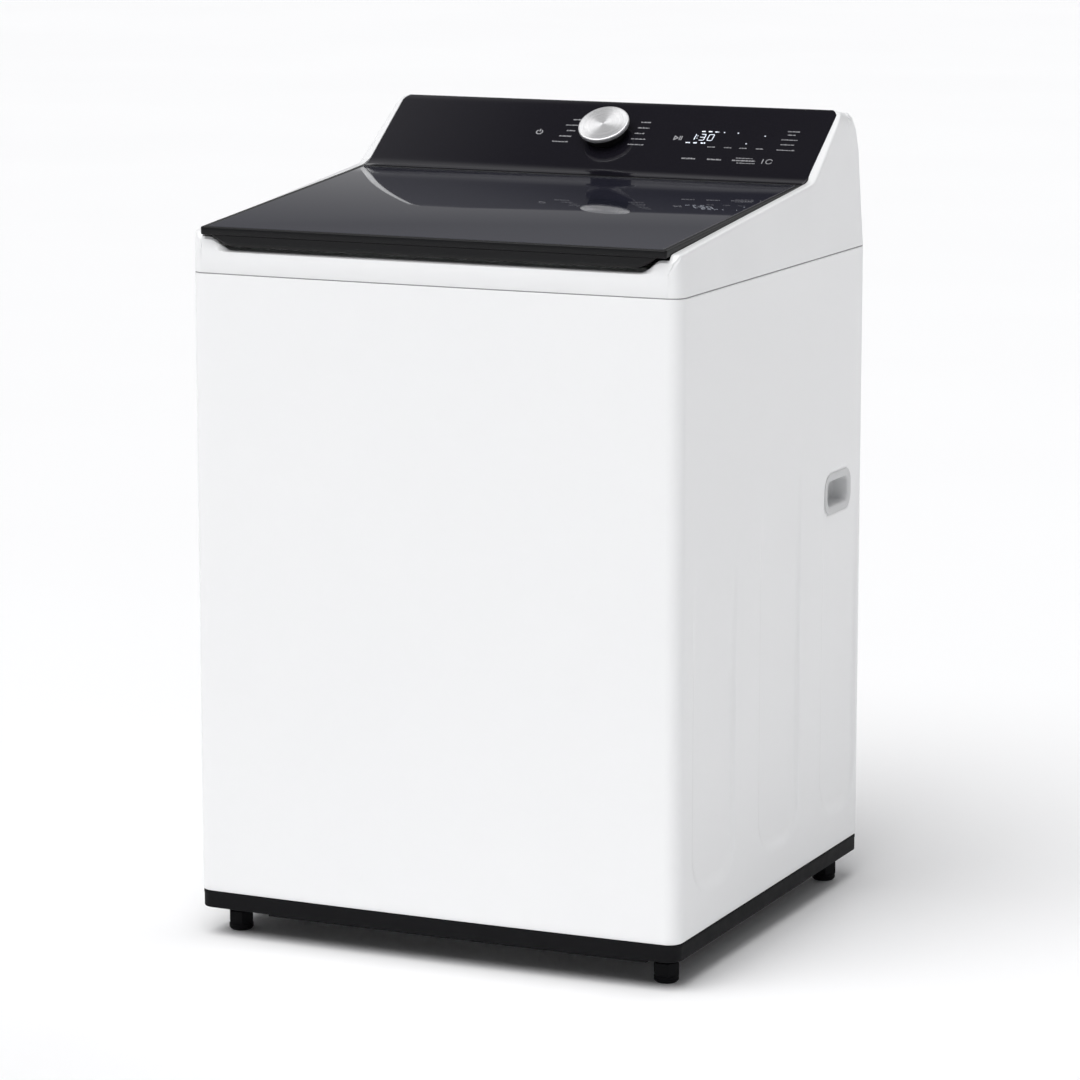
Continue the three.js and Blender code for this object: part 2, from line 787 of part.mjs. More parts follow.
// Arm from the tub wall out to a suspension rod.
function lug(sx, sy) {
  const angle = Math.atan2(sy * ROD.y, sx * ROD.x);
  const reach = Math.hypot(ROD.x, ROD.y);
  const geometry = new THREE.BoxGeometry(reach - TUB_R + 12, 34, LUG.high - LUG.low);
  geometry.translate((reach + TUB_R - 14) / 2 - 3, 0, (LUG.low + LUG.high) / 2).rotateZ(angle);
  const eye = disc(19, LUG.low, LUG.high, sx * ROD.x, sy * ROD.y);
  const arm = joined(solid(geometry), eye);
  const hole = disc(ROD.r + 2.5, LUG.low - 5, LUG.high + 5, sx * ROD.x, sy * ROD.y);
  return cut(arm, hole, disc(TUB_R - 3, LUG.low - 5, LUG.high + 5, 0, 0, ROUND));
}

function tubRing() {
  return turned([
    [228, TUB_HIGH + GAP],
    [TUB_R + GAP, TUB_HIGH + GAP],
    [TUB_R + GAP, TUB_HIGH - 14],
    [TUB_R + 3.3, TUB_HIGH - 14],
    [TUB_R + 3.3, TUB_HIGH + 4],
    [232, TUB_HIGH + 4],
    [228, TUB_HIGH + 2.6],
  ]);
}

const BEARING = { bore: 17, seat: 26, low: 112, high: 204.7 };

function bearingHousing() {
  const { bore, seat, low, high } = BEARING;
  return turned([
    [seat, low],
    [55, low],
    [55, 188],
    [134, 196],
    [134, high],
    [seat, high],
    [seat, 176],
    [bore + 2, 176],
    [bore + 2, 134],
    [seat, 134],
  ]);
}

const bearingRing = (z0, z1) => ring(BEARING.seat - GAP, BEARING.bore, z0, z1, 24);

function stator() {
  const teeth = [];
  const count = 18;
  const core = ring(78, 55.3, 116, 134);
  for (let i = 0; i < count; i++) {
    const tooth = new THREE.BoxGeometry(66, 14, 16).translate(108, 0, 125);
    teeth.push(solid(tooth.rotateZ((i / count) * 2 * Math.PI)));
  }
  return joined(core, ...teeth);
}

function rotor() {
  return turned([
    [9, 97],
    [150, 97],
    [154, 101],
    [154, 142],
    [145, 142],
    [145, 102],
    [30, 101],
    [28, 109],
    [9, 109],
  ]);
}

const PUMP = { x: -178, y: -120, r: 36 };

function drainPump() {
  const { x, y, r } = PUMP;
  const body = joined(
    disc(r, 122, 172, x, y, 20),
    disc(22, 84, 123, x, y, 20),
    disc(16, 171, TUB_LOW - GAP, x, y),
    barY(11, x, y - 78, y, 146),
  );
  return cut(
    body,
    disc(r - 5, 134, 166, x, y, 20),
    disc(11, 150, TUB_LOW + 2, x, y),
    barY(7, x, y - 90, y - 20, 146),
  );
}

function pumpImpeller() {
  const blades = [0, 60, 120].map((turn) => {
    const blade = new THREE.BoxGeometry(48, 3, 14).rotateZ(THREE.MathUtils.degToRad(turn));
    return solid(blade.translate(PUMP.x, PUMP.y, 146));
  });
  return joined(disc(8, 137, 156, PUMP.x, PUMP.y), ...blades);
}

// ---- basket ----
function basketShell() {
  return turned([
    [BASKET_R - SHEET, BASKET_LOW],
    [BASKET_R, BASKET_LOW],
    [BASKET_R, BASKET_HIGH - GAP],
    [BASKET_R - SHEET, BASKET_HIGH - GAP],
  ]);
}

const SHAFT_R = 16.2;

function basketBase() {
  return turned([
    [9.2, 113],
    [SHAFT_R, 113],
    [SHAFT_R, 214],
    [70, 222],
    [200, 228],
    [BASKET_R - 2, 238],
    [BASKET_R - 2, 262],
    [BASKET_R - 8, 262],
    [BASKET_R - 12, 244],
    [198, 235],
    [70, 232],
    [24, 236],
    [9.2, 236],
  ]);
}

function balanceRing() {
  return turned([
    [228, BASKET_HIGH + 4],
    [232, BASKET_HIGH],
    [BASKET_R + 2, BASKET_HIGH],
    [BASKET_R + 2, RING_HIGH - 4],
    [BASKET_R - 4, RING_HIGH],
    [236, RING_HIGH],
    [228, RING_HIGH - 8],
  ]);
}

function lintFilter() {
  const body = box(-52, 52, 232, BASKET_R, 300, 600);
  return body.intersect(disc(BASKET_R - 1.2 - 2.6, 290, 610, 0, 0, ROUND));
}

// ---- drive ----
function pulsator() {
  const disk = turned([
    [9, 246],
    [120, 246],
    [168, 252],
    [170, 258],
    [150, 262],
    [60, 272],
    [40, 276],
    [9, 276],
  ]);
  const crest = [[-152, 258], [-120, 284], [-50, 300], [50, 300], [120, 284], [152, 258]];
  const fins = [0, 60, 120].map((turn) => blade(crest, 18, turn));
  const clear = disc(44, 276, 320, 0, 0, 24);
  const bore = disc(9, 240, 320, 0, 0);
  return cut(joined(disk, ...fins), clear, bore);
}

function pulsatorCap() {
  return turnedSolid([[0, 276.3], [43, 276.3], [43, 292], [34, 304], [16, 309], [0, 310]], 24);
}

function driveShaft() {
  return disc(8.6, 92, 275, 0, 0);
}

// ---- suspension ----
function rod() {
  const { r, top, low } = ROD;
  return turnedSolid(
    [
      [0, low],
      [17, low],
      [17, low + 6],
      [r, low + 6],
      [r, top - 13.6],
      [9, top - 13.6],
      [10, top - 9],
      [6, top],
      [0, top],
    ],
    12,
  );
}

function spring() {
  return ring(15, 10.5, ROD.low + 6.3, LUG.low - GAP, 12);
}

// ---- levelling foot ----
function foot() {
  const hexagon = new THREE.CylinderGeometry(FOOT.r, FOOT.r, 18, 6).rotateX(Math.PI / 2);
  const pad = turnedSolid([[0, 0], [12, 0], [16, 3.5], [16, 9.5], [0, 9.5]], SMALL);
  return joined(solid(hexagon.translate(0, 0, 18)), pad, disc(5, 20, 56));
}

// ---- detergent dispenser ----
function dispenserHousing() {
  const { x0, x1, z0, z1, front, rear } = DRAWER;
  const wall = 2;
  const clear = 1;
  const y0 = front + 16;
  const outer = box(x0 - wall - clear, x1 + wall + clear, y0, rear + 6, z0 - wall - clear, z1 + 4);
  const inner = box(x0 - clear, x1 + clear, y0 - 5, rear + 4, z0 - clear, z1 + 2);
  return cut(outer, inner);
}

function dispenserDrawer() {
  const { x0, x1, z0, z1, front, rear } = DRAWER;
  const y0 = front + 5;
  const mid = (x0 + x1) / 2 + 18;
  const body = box(x0, x1, y0, rear, z0, z1);
  const wash = box(x0 + 2, mid - 1, y0 + 2, rear - 2, z0 + 2, z1 + 5);
  const softener = box(mid + 1, x1 - 2, y0 + 2, rear - 2, z0 + 2, z1 + 5);
  return cut(body, wash, softener);
}

function drawerFront() {
  const { x0, x1, z0, z1, front } = DRAWER;
  const plate = box(x0, x1, front, front + 4.7, z0, z1);
  const mid = (x0 + x1) / 2;
  return cut(plate, barY(13, mid, front - 5, front + 3, z0, 20));
}

// ---- assembly ----
add("base_frame", baseFrame(), "black_plastic");
add("cabinet_wrap", cabinetWrap(), "white_steel");
add("rear_panel", rearPanel(), "galvanised");
add("rear_service_cover", serviceCover(), "white_plastic");
add("top_cover", topCover(), "white_plastic");
add("console_back_cover", consoleBack(), "white_plastic");
add("console_panel", consolePanel(), "black_gloss");
add("control_board", controlBoard(), "circuit");
add("display_module", displayModule(), "black_plastic");
add("lid_lock", lidLock(), "black_plastic");
add("dispenser_housing", dispenserHousing(), "white_plastic");
add("cord_gland", cordGland(GLAND.x, GLAND.z), "black_plastic");
add("inverter_box", inverterBox(), "grey_plastic");
for (const [name, sx] of SIDES) add(`side_grip_${name}`, sideGrip(sx), "grey_plastic");
for (const [name, x] of INLETS) add(`inlet_valve_${name}`, inletValve(x), "grey_plastic");
add(
  "drain_outlet",
  spigot(OUTLET.x, OUTLET.z, 15.4, 12, 24, REAR - 17.7, REAR + BOW, REAR - 40),
  "grey_plastic",
);
for (const [name, sx, sy] of CORNERS) {
  const place = [sx * ROD.x, sy * ROD.y, 0];
  add(`suspension_rod_${name}`, rod(), "galvanised", machine, place);
  add(`suspension_spring_${name}`, spring(), "spring_steel", machine, place);
}

const lid = addGroup();
add("lid_frame", lidFrame(), "black_plastic", lid);
add("lid_glass", lidGlass(), "tinted_glass", lid);
add("lid_inner_trim", lidTrim(), "black_plastic", lid);
add("lid_handle", lidHandle(), "black_plastic", lid);
add("lid_strike", strike(), "galvanised", lid);
for (const [name, sx] of SIDES) add(`lid_hinge_pin_${name}`, hingePin(sx), "galvanised", lid);

const knob = addGroup();
add("knob_skirt", knobSkirt(), "black_plastic", knob);
add("knob_cap", knobCap(), "brushed_aluminium", knob);
add("knob_spindle", knobSpindle(), "grey_plastic", knob);

const drawer = addGroup();
add("dispenser_drawer", dispenserDrawer(), "grey_plastic", drawer);
add("drawer_front", drawerFront(), "white_plastic", drawer);

const tub = addGroup();
add("outer_tub", outerTub(), "tub_plastic", tub);
add("tub_ring", tubRing(), "white_plastic", tub);
add("bearing_housing", bearingHousing(), "cast_aluminium", tub);
add("ball_bearing_upper", bearingRing(176.3, 188), "stainless", tub);
add("ball_bearing_lower", bearingRing(121, 133.7), "stainless", tub);
add("shaft_seal", bearingRing(190, 200), "rubber", tub);
add("stator", stator(), "copper_winding", tub);
add("drain_pump", drainPump(), "grey_plastic", tub);

const impeller = addGroup();
add("pump_impeller", pumpImpeller(), "black_plastic", impeller);

const basket = addGroup();
add("basket_shell", basketShell(), "stainless", basket);
add("basket_base", basketBase(), "cast_aluminium", basket);
add("balance_ring", balanceRing(), "grey_plastic", basket);
add("lint_filter", lintFilter(), "grey_plastic", basket);

const drive = addGroup();
add("pulsator", pulsator(), "grey_plastic", drive);
add("pulsator_cap", pulsatorCap(), "stainless", drive);
add("drive_shaft", driveShaft(), "stainless", drive);
add("rotor", rotor(), "galvanised", drive);

for (const [name, sx, sy] of CORNERS) {
  const y = sy < 0 ? FOOT.front : FOOT.rear;
  add(`foot_${name}`, foot(), "black_plastic", addGroup(), [sx * FOOT.x, y, 0]);
}

export default machine;
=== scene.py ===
# Looks, light and camera for the top-loading washing machine, +Z up, front towards -Y.
# Shapes are worked out in millimetres, and Shape.piece turns them into metres.
import json
import math
import random

import bmesh
import bpy
from mathutils import Matrix, Vector


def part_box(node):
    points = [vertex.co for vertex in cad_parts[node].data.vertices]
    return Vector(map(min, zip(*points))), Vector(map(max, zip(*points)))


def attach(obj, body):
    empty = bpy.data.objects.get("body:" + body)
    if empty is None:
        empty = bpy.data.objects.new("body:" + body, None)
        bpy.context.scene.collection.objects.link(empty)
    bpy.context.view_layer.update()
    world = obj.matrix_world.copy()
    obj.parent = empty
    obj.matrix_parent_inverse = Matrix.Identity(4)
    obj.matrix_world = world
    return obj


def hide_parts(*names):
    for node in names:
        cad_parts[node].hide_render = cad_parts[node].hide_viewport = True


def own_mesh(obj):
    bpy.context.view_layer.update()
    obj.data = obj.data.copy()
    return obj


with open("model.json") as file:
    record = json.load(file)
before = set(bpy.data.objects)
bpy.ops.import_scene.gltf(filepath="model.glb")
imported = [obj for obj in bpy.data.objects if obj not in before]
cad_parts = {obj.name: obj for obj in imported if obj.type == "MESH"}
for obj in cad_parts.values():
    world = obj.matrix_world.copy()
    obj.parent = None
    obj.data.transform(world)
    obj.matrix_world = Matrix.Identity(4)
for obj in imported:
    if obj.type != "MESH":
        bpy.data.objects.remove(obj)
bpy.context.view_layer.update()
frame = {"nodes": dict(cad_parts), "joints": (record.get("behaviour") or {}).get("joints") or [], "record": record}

MM = 0.001
joints = {joint["name"]: joint for joint in frame["joints"]}
CORNERS = ["front_left", "front_right", "rear_left", "rear_right"]


def box(node):
    """A CAD node's lowest and highest corner at rest, in millimetres."""
    return [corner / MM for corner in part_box(node)]


def centre(node):
    low, high = box(node)
    return (low.x + high.x) / 2, (low.y + high.y) / 2


# ---- measures, from the frame ----
WRAP_LOW, WRAP_HIGH = box("cabinet_wrap")
COVER_REAR = box("top_cover")[1].y
BASE_TOP = box("base_frame")[1].z
GLASS_LOW, GLASS_HIGH = box("lid_glass")
LID_LOW, LID_HIGH = box("lid_frame")
PANEL_HIGH = box("console_panel")[1]
DRAWER_LOW, DRAWER_HIGH = box("drawer_front")
BASKET_LOW, BASKET_HIGH = box("basket_shell")

HALF = WRAP_HIGH.x
REAR = WRAP_HIGH.y
BOW = 4
FRONT = WRAP_LOW.y + BOW
FRONT_CORNER = 20
REAR_CORNER = 8
SEAM = WRAP_HIGH.z + 0.3
SIDE_LEAN = 0.066  # how far the top cover's sides lean in, over their height
BACK_LEAN = 0.022

# lid plane
GLASS_THICK = 3.2
LID_SLOPE = (GLASS_HIGH.z - GLASS_LOW.z - GLASS_THICK) / (GLASS_HIGH.y - GLASS_LOW.y)
LID_ANGLE = math.atan(LID_SLOPE)
LID_HALF = LID_HIGH.x
LID_FRONT = LID_LOW.y
LID_REAR = GLASS_HIGH.y + 7.3
LID_THICK = 10
LID_EDGE = 7
HINGE = Vector(joints["lid_hinge"]["pos_m"]) / MM

# deck and rim of the top cover
DECK_FRONT_Y = FRONT + 48
DECK_FRONT_Z = 913
DECK_SLOPE = 0.058
BAY_HALF = LID_HALF + 0.7

# face of the console
FACE_NORMAL = Vector(joints["knob_turn"]["axis"]).normalized()
FACE_UP = Vector((0, FACE_NORMAL.z, -FACE_NORMAL.y))
FACE_ANGLE = math.atan2(FACE_UP.z, FACE_UP.y)
FACE_LENGTH = 148
PANEL_HALF = PANEL_HIGH.x
PANEL_THICK = 4
PANEL_CORNER = 12
BAND_ENDS = (283.6, 283.8)  # rear end of the top band, and start of the back cover
GROOVE = 2  # depth of the seam between cabinet and top cover
SEAM_HALF = 0.75  # half its height
FACE_END = Vector((0, PANEL_HIGH.y + PANEL_THICK * FACE_NORMAL.y, PANEL_HIGH.z))
FACE_FOOT = FACE_END - FACE_UP * FACE_LENGTH
BAY_REAR = FACE_FOOT.y + 0.3
KNOB = Vector(joints["knob_turn"]["pos_m"]) / MM
KNOB_S = (KNOB - FACE_FOOT).dot(FACE_UP)

MOUTH_HALF = 225
MOUTH_FRONT = -268
MOUTH_REAR = DRAWER_LOW.y - 2
MOUTH_CORNER = 140
MOUTH_LOW = 862


def deck_z(y):
    return DECK_FRONT_Z + (y - DECK_FRONT_Y) * DECK_SLOPE


def lid_z(y):
    return GLASS_HIGH.z + (y - GLASS_HIGH.y) * LID_SLOPE


# ---- outlines: closed, counter-clockwise, in two axes ----
def arc(cx, cy, r, start, end, steps):
    turns = [math.radians(start + (end - start) * i / steps) for i in range(steps + 1)]
    return [(cx + r * math.cos(a), cy + r * math.sin(a)) for a in turns]


def rounded(x0, x1, y0, y1, r, steps=8):
    return (
        arc(x1 - r, y1 - r, r, 0, 90, steps)
        + arc(x0 + r, y1 - r, r, 90, 180, steps)
        + arc(x0 + r, y0 + r, r, 180, 270, steps)
        + arc(x1 - r, y0 + r, r, 270, 360, steps)
    )


def circle(cx, cy, r, steps=48):
    return arc(cx, cy, r, 0, 360 * (steps - 1) / steps, steps - 1)


def inset(outline, d):
    """The outline drawn in by d, or out where d is negative."""
    result = []
    for i, (bx, by) in enumerate(outline):
        (ax, ay), (cx, cy) = outline[i - 1], outline[(i + 1) % len(outline)]
        first = Vector((ay - by, bx - ax)).normalized()
        second = Vector((by - cy, cx - bx)).normalized()
        step = (first + second) * (d / max(1 + first.dot(second), 0.2))
        result.append((bx + step.x, by + step.y))
    return result


def filleted(points, r, steps=5):
    """An open line with its inner corners rounded to radius r, or to a corner's own third value."""
    result = [tuple(points[0][:2])]
    for i in range(1, len(points) - 1):
        b = Vector(points[i][:2])
        a, c = Vector(result[-1]), Vector(points[i + 1][:2])
        radius = points[i][2] if len(points[i]) > 2 else r
        u, v = (a - b).normalized(), (c - b).normalized()
        half = math.acos(max(-1, min(1, u.dot(v)))) / 2
        reach = radius / math.tan(half) if half > 0.01 else 0
        reach = min(reach, 0.49 * (a - b).length, 0.49 * (c - b).length)
        if reach < 1e-6 or half > 1.56:
            result.append(tuple(b))
            continue
        start, end = b + u * reach, b + v * reach
        for k in range(steps + 1):
            t = k / steps
            p = start * (1 - t) ** 2 + b * (2 * t * (1 - t)) + end * t * t
            result.append(tuple(p))
    return result + [tuple(points[-1][:2])]


def plan(grow=0.0):
    """Plan of the cabinet, from the rear right corner round by the rear, left, front and right."""
    x, front, rear = HALF + grow, FRONT - grow, REAR + grow
    rf, rr = FRONT_CORNER + grow, max(REAR_CORNER + grow, 1)
    bowed = [(u * (x - rf), front - BOW * (1 - u * u)) for u in spaced(-1, 1, 0.1)[1:-1]]
    return (
        arc(x - rr, rear - rr, rr, 0, 90, 5)
        + arc(-x + rr, rear - rr, rr, 90, 180, 5)
        + arc(-x + rf, front + rf, rf, 180, 270, 10)
        + bowed
        + arc(x - rf, front + rf, rf, 270, 360, 10)
    )


# ---- places: from flat coordinates to the machine ----
def flat(u, v, w):
    return Vector((u, v, w))


def on_lid(x, y, drop):
    return Vector((x, y, lid_z(y) - drop))


def on_face(x, s, n):
    return FACE_FOOT + Vector((x, 0, 0)) + FACE_UP * s + FACE_NORMAL * n


def on_side(sign):
    return lambda y, z, out: Vector((sign * (HALF + out), y, z))


def on_back(x, z, out):
    return Vector((x, out, z))


# ---- mesh building ----
def quarter_round(edge, steps):
    """(inset, rise) along a rounded edge, from its side to its top."""
    turns = [math.radians(90 * k / steps) for k in range(steps + 1)] if edge else [0]
    return [(edge * (1 - math.sin(a)), edge * (1 - math.cos(a))) for a in turns]


class Shape:
    """Points and faces gathered for one piece."""

    def __init__(self):
        self.points = []
        self.faces = []

    def grid(self, rows, around=False, loop=False, skip=None):
        start, wide, tall = len(self.points), len(rows[0]), len(rows)
        for row in rows:
            self.points.extend(Vector(p) for p in row)
        for i in range(tall if loop else tall - 1):
            for j in range(wide if around else wide - 1):
                if skip and skip(i, j):
                    continue
                a, b = i * wide, ((i + 1) % tall) * wide
                k = (j + 1) % wide
                self.faces.append([start + a + j, start + a + k, start + b + k, start + b + j])
        return self

    def face(self, ring):
        start = len(self.points)
        self.points.extend(Vector(p) for p in ring)
        self.faces.append(list(range(start, start + len(ring))))
        return self

    def loft(self, rings):
        """A closed solid through closed rings."""
        self.grid(rings, around=True)
        self.face(rings[0])
        return self.face(rings[-1])

    def plate(self, outline, place, low, high, edge=0.0, steps=3):
        """A plate with rounded edges, from low to high along the third axis."""
        rings = []
        for level, sign in ((low, 1), (high, -1)):
            for d, rise in quarter_round(edge, steps)[::sign]:
                rings.append([place(u, v, level + sign * rise) for u, v in inset(outline, d)])
        return self.loft(rings)

    def rim(self, outer, inner, place, low, high, edge=0.0, steps=3):
        """A ring plate between two outlines with as many points each."""
        rings = []
        for outline, sign in ((outer, 1), (inner, -1)):
            for level, up in ((low, 1), (high, -1))[::sign]:
                for d, rise in quarter_round(edge, steps)[:: sign * up]:
                    rings.append([place(u, v, level + up * rise) for u, v in inset(outline, sign * d)])
        return self.grid(rings, around=True, loop=True)

    def turned(self, profile, steps, cx=0.0, cy=0.0, closed=True):
        """A turned solid: the profile is (radius, height) and closes on itself or on the axis."""
        rings = []
        for r, z in profile:
            rings.append([Vector((cx + u * r, cy + v * r, z)) for u, v in circle(0, 0, 1, steps)])
        return self.grid(rings, around=True, loop=closed)

    def tube(self, path, r, sides):
        """A round tube along an open path."""
        rings = []
        last = len(path) - 1
        for i, p in enumerate(path):
            along = (Vector(path[min(i + 1, last)]) - Vector(path[max(i - 1, 0)])).normalized()
            side = along.cross(Vector((0, 0, 1)))
            if side.length < 0.1:
                side = along.cross(Vector((1, 0, 0)))
            side.normalize()
            top = side.cross(along)
            rings.append([Vector(p) + side * (r * u) + top * (r * v) for u, v in circle(0, 0, 1, sides)])
        return self.loft(rings)

    def block(self, x0, x1, y0, y1, z0, z1, edge=0.5):
        edge = min(edge, 0.3 * (x1 - x0), 0.3 * (y1 - y0), 0.3 * (z1 - z0))
        outline = rounded(x0, x1, y0, y1, edge, 3)
        return self.plate(outline, flat, z0, z1, edge * 0.95, 2)

    def piece(self, name, body, slot, nodes=(), smooth=35, material=None, matrix=None):
        """The Blender object: it rides on body, stands for nodes, and has its slot's finish or material."""
        mesh = bpy.data.meshes.new(name)
        mesh.from_pydata([tuple(p * MM) for p in self.points], [], self.faces)
        tidy = bmesh.new()
        tidy.from_mesh(mesh)
        bmesh.ops.remove_doubles(tidy, verts=tidy.verts, dist=2e-6)
        bmesh.ops.dissolve_degenerate(tidy, edges=tidy.edges, dist=1e-6)
        bmesh.ops.recalc_face_normals(tidy, faces=tidy.faces)
        tidy.to_mesh(mesh)
        tidy.free()
        mesh.shade_smooth()
        mesh.set_sharp_from_angle(angle=math.radians(smooth))
        mesh.materials.append(material or FINISHES[slot])
        obj = bpy.data.objects.new(name, mesh)
        bpy.context.scene.collection.objects.link(obj)
        if matrix:
            obj.matrix_world = matrix
        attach(obj, body)
        if nodes:
            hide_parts(*nodes)
        return obj


# ---- materials ----
class Finish:
    """A Principled material and the few node chains that the finishes share."""

    def __init__(self, name, colour, roughness, metallic=0.0, **sockets):
        self.material = bpy.data.materials.new(name)
        self.material.use_nodes = True
        self.nodes = self.material.node_tree.nodes
        self.links = self.material.node_tree.links
        self.shader = self.nodes["Principled BSDF"]
        self.shader.inputs["Base Color"].default_value = (*colour, 1)
        self.shader.inputs["Roughness"].default_value = roughness
        self.shader.inputs["Metallic"].default_value = metallic
        for socket, value in sockets.items():
            self.shader.inputs[socket.replace("_", " ")].default_value = value
        self.place = self.nodes.new("ShaderNodeTexCoord").outputs["Object"]
        self.normal = None

    def node(self, kind, **values):
        made = self.nodes.new(kind)
        for name, value in values.items():
            if name in made.inputs:
                made.inputs[name].default_value = value
            else:
                setattr(made, name, value)
        return made

    def stretched(self, scale):
        mapping = self.node("ShaderNodeMapping", Scale=scale)
        self.links.new(self.place, mapping.inputs["Vector"])
        return mapping.outputs["Vector"]

    def noise(self, scale, detail, stretch=None):
        made = self.node("ShaderNodeTexNoise", Scale=scale, Detail=detail)
        self.links.new(self.stretched(stretch) if stretch else self.place, made.inputs["Vector"])
        return made.outputs["Fac"]

    def cells(self, scale):
        made = self.node("ShaderNodeTexVoronoi", Scale=scale)
        self.links.new(self.place, made.inputs["Vector"])
        return made

    def spread(self, value, low, high, start=0.3, end=0.7):
        made = self.node("ShaderNodeMapRange")
        for name, number in (("From Min", start), ("From Max", end), ("To Min", low), ("To Max", high)):
            made.inputs[name].default_value = number
        self.links.new(value, made.inputs["Value"])
        return made.outputs["Result"]

    def colours(self, value, first, second, start=0.35, end=0.65):
        mix = self.node("ShaderNodeMix", data_type="RGBA")
        mix.inputs[6].default_value = (*first, 1)
        mix.inputs[7].default_value = (*second, 1)
        self.links.new(self.spread(value, 0, 1, start, end), mix.inputs[0])
        self.links.new(mix.outputs[2], self.shader.inputs["Base Color"])
        return self

    def rough(self, value, low, high, start=0.3, end=0.7):
        self.links.new(self.spread(value, low, high, start, end), self.shader.inputs["Roughness"])
        return self

    def bump(self, value, strength, distance):
        made = self.node("ShaderNodeBump", Strength=strength, Distance=distance)
        self.links.new(value, made.inputs["Height"])
        if self.normal is not None:
            self.links.new(self.normal, made.inputs["Normal"])
        self.normal = made.outputs["Normal"]
        self.links.new(self.normal, self.shader.inputs["Normal"])
        return self


def white_enamel():
    f = Finish("white_enamel", (0.86, 0.865, 0.87), 0.3, Coat_Weight=0.35, Coat_Roughness=0.12)
    f.colours(f.noise(3, 2), (0.852, 0.857, 0.863), (0.868, 0.872, 0.876), 0.1, 0.9)
    f.rough(f.noise(9, 3), 0.27, 0.34, 0.1, 0.9)
    return f.bump(f.noise(45, 1), 0.03, 0.0005).material


def moulded(name, colour, roughness, grain=260, strength=0.06, coat=0.0, shine=0.5):
    f = Finish(name, colour, roughness, Coat_Weight=coat, Coat_Roughness=0.1, Specular_IOR_Level=shine)
    darker = tuple(c * 0.95 for c in colour)
    f.colours(f.noise(6, 3), darker, colour, 0.1, 0.9)
    f.rough(f.noise(40, 4), roughness * 0.88, roughness * 1.12, 0.1, 0.9)
    return f.bump(f.noise(grain, 2), strength, 0.0004).material


def gloss_black():
    f = Finish("gloss_black", (0.0085, 0.0078, 0.0115), 0.1, Specular_IOR_Level=0.42)
    f.colours(f.noise(2.5, 2), (0.008, 0.0073, 0.011), (0.009, 0.0083, 0.012), 0.1, 0.9)
    return f.rough(f.noise(30, 5), 0.08, 0.12, 0.1, 0.9).material


def smoked_glass():
    f = Finish("smoked_glass", (0.024, 0.025, 0.038), 0.03, IOR=1.52)
    f.shader.inputs["Transmission Weight"].default_value = 0.12
    f.colours(f.noise(2, 2), (0.022, 0.023, 0.036), (0.026, 0.027, 0.04), 0.1, 0.9)
    return f.rough(f.noise(14, 4), 0.02, 0.04, 0.1, 0.9).material


def spun_aluminium():
    f = Finish("spun_aluminium", (0.8, 0.8, 0.81), 0.27, 0.6, Anisotropic=0.85)
    turned = f.node("ShaderNodeTangent", direction_type="RADIAL", axis="Z")
    f.links.new(turned.outputs["Tangent"], f.shader.inputs["Tangent"])
    length = f.node("ShaderNodeVectorMath", operation="LENGTH")
    f.links.new(f.stretched((1, 1, 0)), length.inputs[0])
    rings = f.node("ShaderNodeTexNoise", noise_dimensions="1D", Scale=2600.0, Detail=3.0)
    f.links.new(length.outputs["Value"], rings.inputs["W"])
    f.rough(rings.outputs["Fac"], 0.2, 0.36)
    f.colours(rings.outputs["Fac"], (0.72, 0.72, 0.73), (0.86, 0.86, 0.87))
    return f.bump(rings.outputs["Fac"], 0.25, 0.00008).material


def sheet_steel(name, colour, roughness):
    f = Finish(name, colour, roughness, 1.0, Anisotropic=0.35)
    grain = f.noise(60, 4, (1, 1, 60))
    f.colours(f.noise(7, 3), tuple(c * 0.9 for c in colour), colour)
    f.rough(grain, roughness * 0.75, roughness * 1.3)
    return f.bump(grain, 0.1, 0.0001).material


def galvanised():
    f = Finish("galvanised", (0.6, 0.62, 0.64), 0.42, 1.0)
    spangle = f.cells(190)
    f.colours(spangle.outputs["Color"], (0.54, 0.555, 0.57), (0.61, 0.625, 0.64), 0.1, 0.9)
    f.rough(spangle.outputs["Distance"], 0.4, 0.48, 0.0, 0.8)
    return f.bump(f.noise(500, 2), 0.08, 0.0002).material


def cast_metal():
    f = Finish("cast_metal", (0.55, 0.56, 0.57), 0.5, 1.0)
    f.colours(f.noise(25, 4), (0.46, 0.47, 0.48), (0.6, 0.61, 0.62))
    f.rough(f.noise(120, 4), 0.42, 0.62)
    return f.bump(f.noise(700, 3), 0.35, 0.0004).material


def wound_copper():
    f = Finish("wound_copper", (0.62, 0.27, 0.12), 0.35, 1.0)
    wire = f.node("ShaderNodeTexWave", Scale=260.0, Distortion=0.4)
    wire.bands_direction = "Z"
    f.links.new(f.place, wire.inputs["Vector"])
    # The colour runs darker in the hollows between the wire's turns, where the bump is low: painted shade.
    f.colours(wire.outputs["Fac"], (0.35, 0.14, 0.06), (0.72, 0.33, 0.15), 0.1, 0.9)
    return f.bump(wire.outputs["Fac"], 0.6, 0.0005).material


def solder_mask():
    f = Finish("solder_mask", (0.03, 0.16, 0.06), 0.35, Coat_Weight=0.4)
    f.colours(f.noise(160, 4), (0.02, 0.11, 0.045), (0.05, 0.2, 0.08))
    return f.bump(f.noise(500, 2), 0.1, 0.0002).material


def printed(name, colour, glow=0.0):
    f = Finish(name, colour, 0.45)
    f.colours(f.noise(600, 2), tuple(c * 0.85 for c in colour), colour)
    if glow:
        f.shader.inputs["Emission Color"].default_value = (*colour, 1)
        f.shader.inputs["Emission Strength"].default_value = glow
    return f.material


